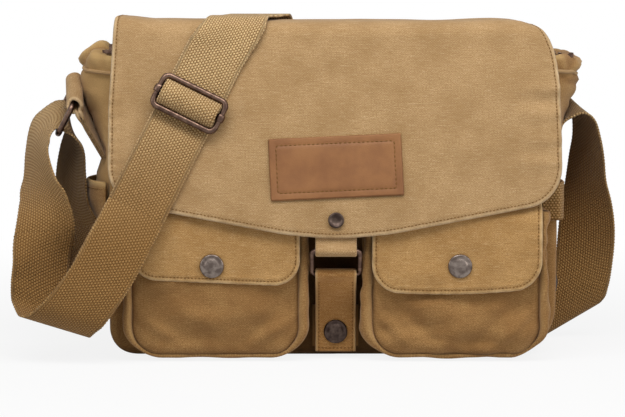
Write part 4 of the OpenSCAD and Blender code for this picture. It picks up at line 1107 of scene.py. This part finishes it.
# Where the strap leaves the flap at the lower left, the y at which its run over the top starts to turn with
# the flap, and the thickness of the hump's pressed ends
STRAP_OFF, OVER_FOLD_Y, HUMP_END_T = -78.4, 41.0, 0.65
BACK_W, FOLD_UP, FOLD_W, HANG_W = (0.95, 0, 0.31), (0.7, 0, 0.71), (0.956, 0, -0.293), (0.9, 0, -0.44)
RIGHT_ROUTE = [
    ((150, 0, 146), (0, -1, 0)), ((154.5, 0, 156), (0, -1, 0)), ((160, 0, 164.5), (0.05, -0.97, -0.2)),
    ((166.5, 0.5, 167), (0.15, -0.96, -0.2)), ((171, 1.5, 159.5), (0.28, -0.95, -0.1)),
    ((173.5, 4, 146), (0.36, -0.93, 0)), ((174, 7, 132), (0.48, -0.87, 0.03)),
    ((174.2, 11, 114.5), (0.6, -0.8, 0.05)), ((175.3, 15, 100), (0.78, -0.62, 0.05)),
    ((176.2, 19, 85.5), (0.9, -0.42, 0.05)), ((176.4, 23, 71), (0.98, -0.2, 0.05)),
    ((176, 26.5, 58), (1, -0.05, 0.02)), ((174.8, 28.5, 46), (0.99, 0, 0.06)),
    ((172.2, 30, 33), (0.97, 0, 0.17)), ((169.5, 32.5, 20.5), (0.92, 0, 0.36)),
    ((168.5, 36, 14.2), (0.87, 0, 0.49)), ((167.5, 41, 12.7), (0.85, 0, 0.53)),
    ((162, 45, 16), (0.79, 0, 0.61)), ((151, 47, 25), (0.74, 0, 0.67)), ((138, 47.6, 36.5), (0.71, 0, 0.7)),
    ((122, 48.05, 51), FOLD_UP), ((85, 46.55, 92), FOLD_UP), ((40, 44.05, 139), FOLD_UP),
    ((0, 42.05, 180), FOLD_UP), ((-29, 40.65, 205), (0.78, -0.03, 0.62)), ((-47, 40.65, 216), BACK_W)]
TOP_ROUTE = [
    RIGHT_ROUTE[-1], ((-49, 39.2, 224.05), X_WIDE), ((-51, 31.8, 228.45), X_WIDE),
    ((-54, 21.8, 228.65), X_WIDE), ((-59, 0, 228.25), X_WIDE), ((-64.5, -36, 228.55), X_WIDE),
    ((-67.5, -46.6, 224.4), X_WIDE), (flap_point(-72, 216.43, 1.65), X_WIDE), on_strap(36, 1.25),
    on_strap(18.75, LOW_N), on_strap(-14, LOW_N), on_strap(-20, 1.9),
    *[on_strap(d, HIGH_N) for d in (-26, -40, -60, STRAP_OFF)]]
UNDER_ROUTE = [on_strap(d, LOW_N) for d in (-24, -32, -40, -60, STRAP_OFF)]
HUMP_SIDE = [(11.4, 3.75), (10.4, 3.9), (8.2, 6.2), (5.2, 9.4), (2.0, HUMP_N - 0.2)]
HUMP_ROUTE = [on_strap(d, n) for d, n in HUMP_SIDE + [(0, HUMP_N)] + [(-d, n) for d, n in HUMP_SIDE[::-1]]]
LEFT_ROUTE = [
    on_strap(STRAP_OFF, HIGH_N), ((-141, -81, 83), HANG_W), ((-152.5, -83.5, 62), HANG_W),
    ((-165, -84, 44), FOLD_W), ((-176, -80.5, 31.5), FOLD_W), ((-186, -70, 25), FOLD_W),
    ((-193.5, -57, 33), FOLD_W), ((-197.5, -50, 49), (0.93, 0.3, -0.2)), ((-197, -46, 68), (0.9, 0.42, 0)),
    ((-195, -41, 90), (0.97, -0.1, 0.03)), ((-196.5, -34, 105), (0.84, -0.54, 0.05)),
    ((-200, -26, 118), (0.62, -0.78, 0.05)),
    ((-202.6, -19.5, 134), (0.48, -0.87, 0)), ((-202, -15, 146), (0.4, -0.9, -0.15)),
    ((-198.5, -9.5, 154.5), (0.25, -0.91, -0.33)), ((-191, -6.2, 161), (0.05, -0.91, -0.42)),
    ((-184.5, -5.4, 159.5), (0.05, -0.91, -0.42)), ((-180.5, -4.5, 150), (0.25, -0.95, -0.2)),
    ((-180.5, -5, 137), (0.5, -0.86, 0)), ((-181.5, -5, 119), (0.6, -0.8, 0.05)),
    ((-180, -11, 97), (0.66, -0.75, 0.05)), ((-173, -29, 76), (0.82, -0.45, 0.35)),
    ((-160, -49, 60), (0.8, -0.1, 0.55)), ((-159.5, -64, 52), (0.94, 0, 0.25)),
    ((-158, -74, 52), (0.97, 0, -0.15)), ((-152.5, -79.8, 63.5), HANG_W), ((-141, -78.6, 84.5), HANG_W),
    on_strap(STRAP_OFF, LOW_N)]


def strap_band(route):
    return band(route, STRAP_W, step=0.75, serrate=0.6)


def strap_piece(name, grid, node, start=0, stop=None, dye_and_painted_shade=0.0):
    """Rows start to stop of a run of webbing, with pale edges, darkened by its share of painted shade and
    lightened as painted light where that share is negative.
    """
    rows = slice(start, stop)
    edge = np.zeros(grid.shape[:2])
    edge[:, [0, -1]] = 1
    pale = (edge * (1 - 2 * dye_and_painted_shade) - dye_and_painted_shade)[rows]
    piece = shell(name, grid[rows], STRAP_T, WEBBING, normals=grid_normals(grid)[rows],
                  lead=run_length(grid[:, 4])[start], pale=pale)
    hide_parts(node)
    return piece


def strap_hump():
    """The short piece of strap over the buckle's bar, pressed thin where it enters the frame."""
    grid = strap_band(HUMP_ROUTE)
    row = np.arange(len(grid))[:, None]
    inside = smooth((np.minimum(row, len(grid) - 1 - row) - 2) / 6)
    hump = shell("strap_hump_webbing", grid, HUMP_END_T + (STRAP_T - HUMP_END_T) * inside, WEBBING)
    fit(hump, "webbing", "strap_slider")


def strap_left_loop():
    """The hanging loop in three pieces: from the flap down, through the ring, and back under the front."""
    grid = strap_band(LEFT_ROUTE)
    x, z = grid[:, 4, 0], grid[:, 4, 2]
    row = np.arange(len(grid))
    top = int(np.argmax(z))
    first = row[(z > 84) & (x < -180)][0]
    last = row[(z > 84) & (x < -175) & (row > top)][-1]
    # Painted shade: the strap is darkened past the top of its loop, down the leg that hangs behind, fading
    # out before it ends under the front.
    dye_and_painted_shade = (0.5 * smooth((row - top) / 40) * smooth((len(grid) - 90 - row) / 50))[:, None]
    to_ring = "strap_ring", (-0.19, -0.02, 0.105), (-0.19, -0.01, 0.150)
    to_flap = "flap", (-0.190, -0.040, 0.06), (-0.145, -0.085, 0.06)
    for name, start, stop, follows in (("front", 0, first + 1, to_flap), ("ring", first, last + 1, to_ring),
                                       ("return", last, None, to_flap)):
        piece = strap_piece(f"strap_{name}_webbing", grid, "strap_left_loop", start, stop, dye_and_painted_shade)
        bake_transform(piece)


def build_strap():
    grid = strap_band(RIGHT_ROUTE)
    height, beside_bag = grid[:, 4:5, 2], grid[:, 4:5, 0] > 150
    # Painted shade on the run beside the bag, darker from 85 mm up under the ear, and painted light, lighter
    # from 100 mm down.
    painted_shade_and_light = (0.42 * smooth((height - 85) / 45) - 0.25 * smooth((100 - height) / 60)) * beside_bag
    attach(strap_piece("strap_right_webbing", grid, "strap_right_run", dye_and_painted_shade=painted_shade_and_light), "bag")
    over = strap_piece("strap_over_webbing", strap_band(TOP_ROUTE), "strap_over_flap")
    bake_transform(over)
    strap_hump()
    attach(strap_piece("strap_under_webbing", strap_band(UNDER_ROUTE), "strap_under_layer"), "flap")
    strap_left_loop()


build_strap()

# Ring and its tab on the left side. The tab is turned about RING_BASE, and the ring hangs in its roll
TAB_TURN, RING_TURN = turn("x", 25), turn("y", 27)
RING_BASE, RING_AT = np.array([0, 4, 141]), np.array([-177.5, 0, 39.0])
LOOP_W, LOOP_H, LOOP_R, LOOP_WIRE = 44.0, 23.5, 4.0, 2.0
TAB_W, TAB_T, TAB_ROLL, TAB_FOOT = 36.0, 2.5, 4.6, np.array([-158.3, -12, 138])
# Width directions of the tab at its roll and at its foot, and its legs: distance from the roll, half gap
ROLL_W, FOOT_W = (-0.11, 0.9, 0.42), (-0.1, 0.95, 0.25)
TAB_LEGS = [(9, 1.3), (14, 0.75), (18, 0.75)]


def in_tab(p):
    return RING_BASE + TAB_TURN @ np.asarray(p, float)


def ring_tab():
    """A strip of cloth rolled round the ring, with both legs pressed together and sewn to the gusset."""
    roll = in_tab(RING_AT)
    down = unit(TAB_FOOT - roll)
    out = unit(np.cross(down, ROLL_W))
    angles = np.linspace(0.3, 2 * math.pi - 0.3, 19)
    route = [(roll + TAB_ROLL * (math.sin(a) * out + math.cos(a) * down), ROLL_W) for a in angles]
    for k in (1, -1):
        legs = [(roll + down * h + out * k * gap, ROLL_W) for h, gap in TAB_LEGS]
        legs.append((TAB_FOOT + out * k * TAB_LEGS[-1][1], FOOT_W))
        route = legs[::-1] + route if k > 0 else route + legs
    grid = band(route, TAB_W, columns=11)
    leg = smooth((np.linalg.norm(grid[:, 5] - roll, axis=-1)[:, None] - 6) / 6)
    edge = np.zeros(grid.shape[:2])
    # The roll's edges are paler, worn, and the legs' edges are darkened, painted shade.
    edge[:, [0, -1]] = 0.6 - 1.1 * leg
    return shell("ring_tab_cloth", grid, TAB_T - 1.1 * leg, CANVAS, pale=edge)


def strap_ring():
    loop = [in_tab(RING_AT + RING_TURN @ np.array([0, a, b - LOOP_H / 2]))
            for a, b in rounded_loop(LOOP_W, LOOP_H, LOOP_R, 9)]
    return tube("strap_ring_wire", loop, LOOP_WIRE, METAL, closed=True)


fit(strap_ring(), "metal", "strap_ring", "strap_ring")
fit(ring_tab(), "webbing", "bag", "ring_tab")

# Slip pocket on the left side: its ends in y, bottom, top and seam. Webbing loop on the right
SLIP_Y, SLIP_LOW, SLIP_TOP, SLIP_SEAM = (-36.5, 32.3), 34.0, 117.0, 112.5
SIDE_LOOP_Z, SIDE_LOOP_W = 105.0, 24.0
SIDE_LOOP = [(139, -39.05), (146.5, -39.7), (150.5, -38.8), (153.4, -32), (154.2, -23), (153.6, -12),
             (152.8, 0)]


def slip_pocket(y, z, lift):
    puff = 4.5 * np.clip(1 - (y / 35.3) ** 2, 0, 1) * smooth((z - SLIP_LOW) / (SLIP_TOP - SLIP_LOW))
    x = HALF_W + gusset_out(LEFT_EAR, y / HALF_D, z) + 1.5 + puff + 0.9 * noise(y / 17, z / 13, 31) + lift
    return np.stack([-x, y, z], -1)


def build_sides():
    y, z = np.meshgrid(np.linspace(*SLIP_Y, 44), np.linspace(SLIP_LOW, SLIP_TOP, 50))
    pocket = shell("left_side_pocket_cloth", slip_pocket(y, z, 0), 1.8, CANVAS_BODY, flip=True,
                   pale=smooth((z - SLIP_TOP + 4) / 3))
    run = np.linspace(SLIP_Y[0] + 1.5, SLIP_Y[1] - 1.3, 60)
    thread = sew("side_pocket_stitches", [slip_pocket(run, np.full(60, SLIP_SEAM), 1.2)])
    loop = [((x, y, SIDE_LOOP_Z), (0, 0, 1)) for x, y in SIDE_LOOP]
    side_loop = shell("side_loop_webbing", band(loop, SIDE_LOOP_W, step=0.75, serrate=0.3), STRAP_T, WEBBING)
    fit(pocket, "canvas", "bag", "left_side_pocket")
    fit(thread, "canvas", "bag")
    fit(side_loop, "webbing", "bag", "side_loop")


build_sides()

# Zip tapes: cut in at their ends so that they lie inside the gathered mouth. The zip is open, so the back
# tape bends over to the front one only at the left end
TAPE_SEAM, TAPE_W, TAPE_MEET, TAPE_HALF, TAPE_Z = 35.3, 17.0, -12.4, 161.2, 202.5


def build_tapes():
    v, u = np.linspace(0, 1, 12)[:, None], np.linspace(-1, 1, 140)[None]
    x = u * (142 + 14 * v**0.7)
    meet = TAPE_MEET + (TAPE_SEAM - TAPE_W - TAPE_MEET) * smooth((x + TAPE_HALF) / 70)
    rows = {"front": TAPE_W * v - TAPE_SEAM + 0 * x, "back": TAPE_SEAM + (meet - TAPE_SEAM) * v}
    for name, y in rows.items():
        tape = shell(f"zip_tape_{name}_cloth", np.stack([x, y, np.full(x.shape, TAPE_Z)], -1), 1.0, TAPE)
        fit(tape, "cotton", "bag", f"zip_tape_{name}")


build_tapes()

# Pieces kept from the CAD part
ZIP_METAL = ("zip_teeth_front", "zip_teeth_back", "zip_stops", "zip_slider", "zip_pull")
STUDS = ("left_snap_stud", "right_snap_stud", "closure_snap_stud")
for nodes, mat in ((ZIP_METAL, METAL), (STUDS, SNAP_METAL), (("closure_stud_patch",), CANVAS_BODY)):
    for node in nodes:
        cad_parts[node].data.materials.clear()
        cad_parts[node].data.materials.append(mat)

# Camera at the photo's angle, in metres: what it looks at, how far off and from how high
TARGET, CAMERA_FAR, CAMERA_TILT = Vector((-0.0155, 0, 0.096)), 1.5, math.radians(6)
FOCAL_PX, IMAGE_W, SENSOR = 2172.7, 625, 36
cam = bpy.data.objects.new("camera", bpy.data.cameras.new("camera"))
scene.collection.objects.link(cam)
cam.location = TARGET + CAMERA_FAR * Vector((0, -math.cos(CAMERA_TILT), math.sin(CAMERA_TILT)))
cam.rotation_euler = (math.pi / 2 - CAMERA_TILT, 0, 0)
cam.data.sensor_width = SENSOR
cam.data.lens = SENSOR * FOCAL_PX / IMAGE_W
scene.camera = cam


# White studio: a pale floor, a wide soft key from above the front and a fill from each side
def seen_rays(node, kinds):
    """1 where a ray comes from the camera or a mirroring or clear surface, 0 where it only carries light."""
    ray = node("LightPath").node.outputs
    seen = ray["Is Camera Ray"]
    for kind in kinds:
        seen = node("Math", operation="MAXIMUM", i0=seen, i1=ray[f"Is {kind} Ray"])
    return seen


def floor_material():
    """Matt pale card that keeps the shadow near the bag and fades to white further out, where it is seen."""
    mat, node = new_material("pale_floor")
    card = node("BsdfPrincipled", Base_Color=colour("#d8d8d8"), Roughness=0.9)
    glow = node("Emission", Color=(1, 1, 1, 1), Strength=1.0)
    far = node("VectorMath", "Value", operation="LENGTH", i0=node("TexCoord", "Object"))
    far = node("MapRange", interpolation_type="SMOOTHSTEP", Value=far, From_Min=0.2, From_Max=0.7,
               To_Min=0.86, To_Max=1.0)
    part = node("Math", operation="MULTIPLY", i0=seen_rays(node, ("Glossy",)), i1=far)
    node("OutputMaterial", Surface=node("MixShader", i0=part, i1=card, i2=glow))
    return mat


def white_world():
    """A weak white light from all round, seen as plain white."""
    world = bpy.data.worlds.new("studio")
    world.use_nodes = True
    world.node_tree.nodes.clear()
    node = partial(add_node, world.node_tree)
    soft, white = [node("Background", Color=(1, 1, 1, 1), Strength=strength) for strength in (0.1, 1.0)]
    seen = seen_rays(node, ("Glossy", "Transmission"))
    node("OutputWorld", Surface=node("MixShader", i0=seen, i1=soft, i2=white))
    return world


def area_light(name, place, target, size, power):
    data = bpy.data.lights.new(name, "AREA")
    data.shape, data.size, data.size_y, data.energy = "RECTANGLE", size[0], size[1], power
    obj = bpy.data.objects.new(name, data)
    scene.collection.objects.link(obj)
    obj.location = place
    obj.rotation_euler = (Vector(target) - Vector(place)).to_track_quat("-Z", "Y").to_euler()


FLOOR = 2500
corners = [(x * FLOOR, y * FLOOR, 0) for x, y in ((-1, -1), (1, -1), (1, 1), (-1, 1))]
add_mesh("floor", corners, [(0, 1, 2, 3)], floor_material())
scene.world = white_world()
area_light("key", (0, -0.47, 0.88), (0, 0, 0.14), (1.2, 0.4), 9.4)
area_light("fill_left", (-1.3, -0.6, 0.5), (0, 0, 0.1), (0.8, 0.8), 4.0)
area_light("fill_right", (1.3, -0.6, 0.5), (0, 0, 0.1), (0.8, 0.8), 7.0)
scene.view_settings.view_transform = "Standard"
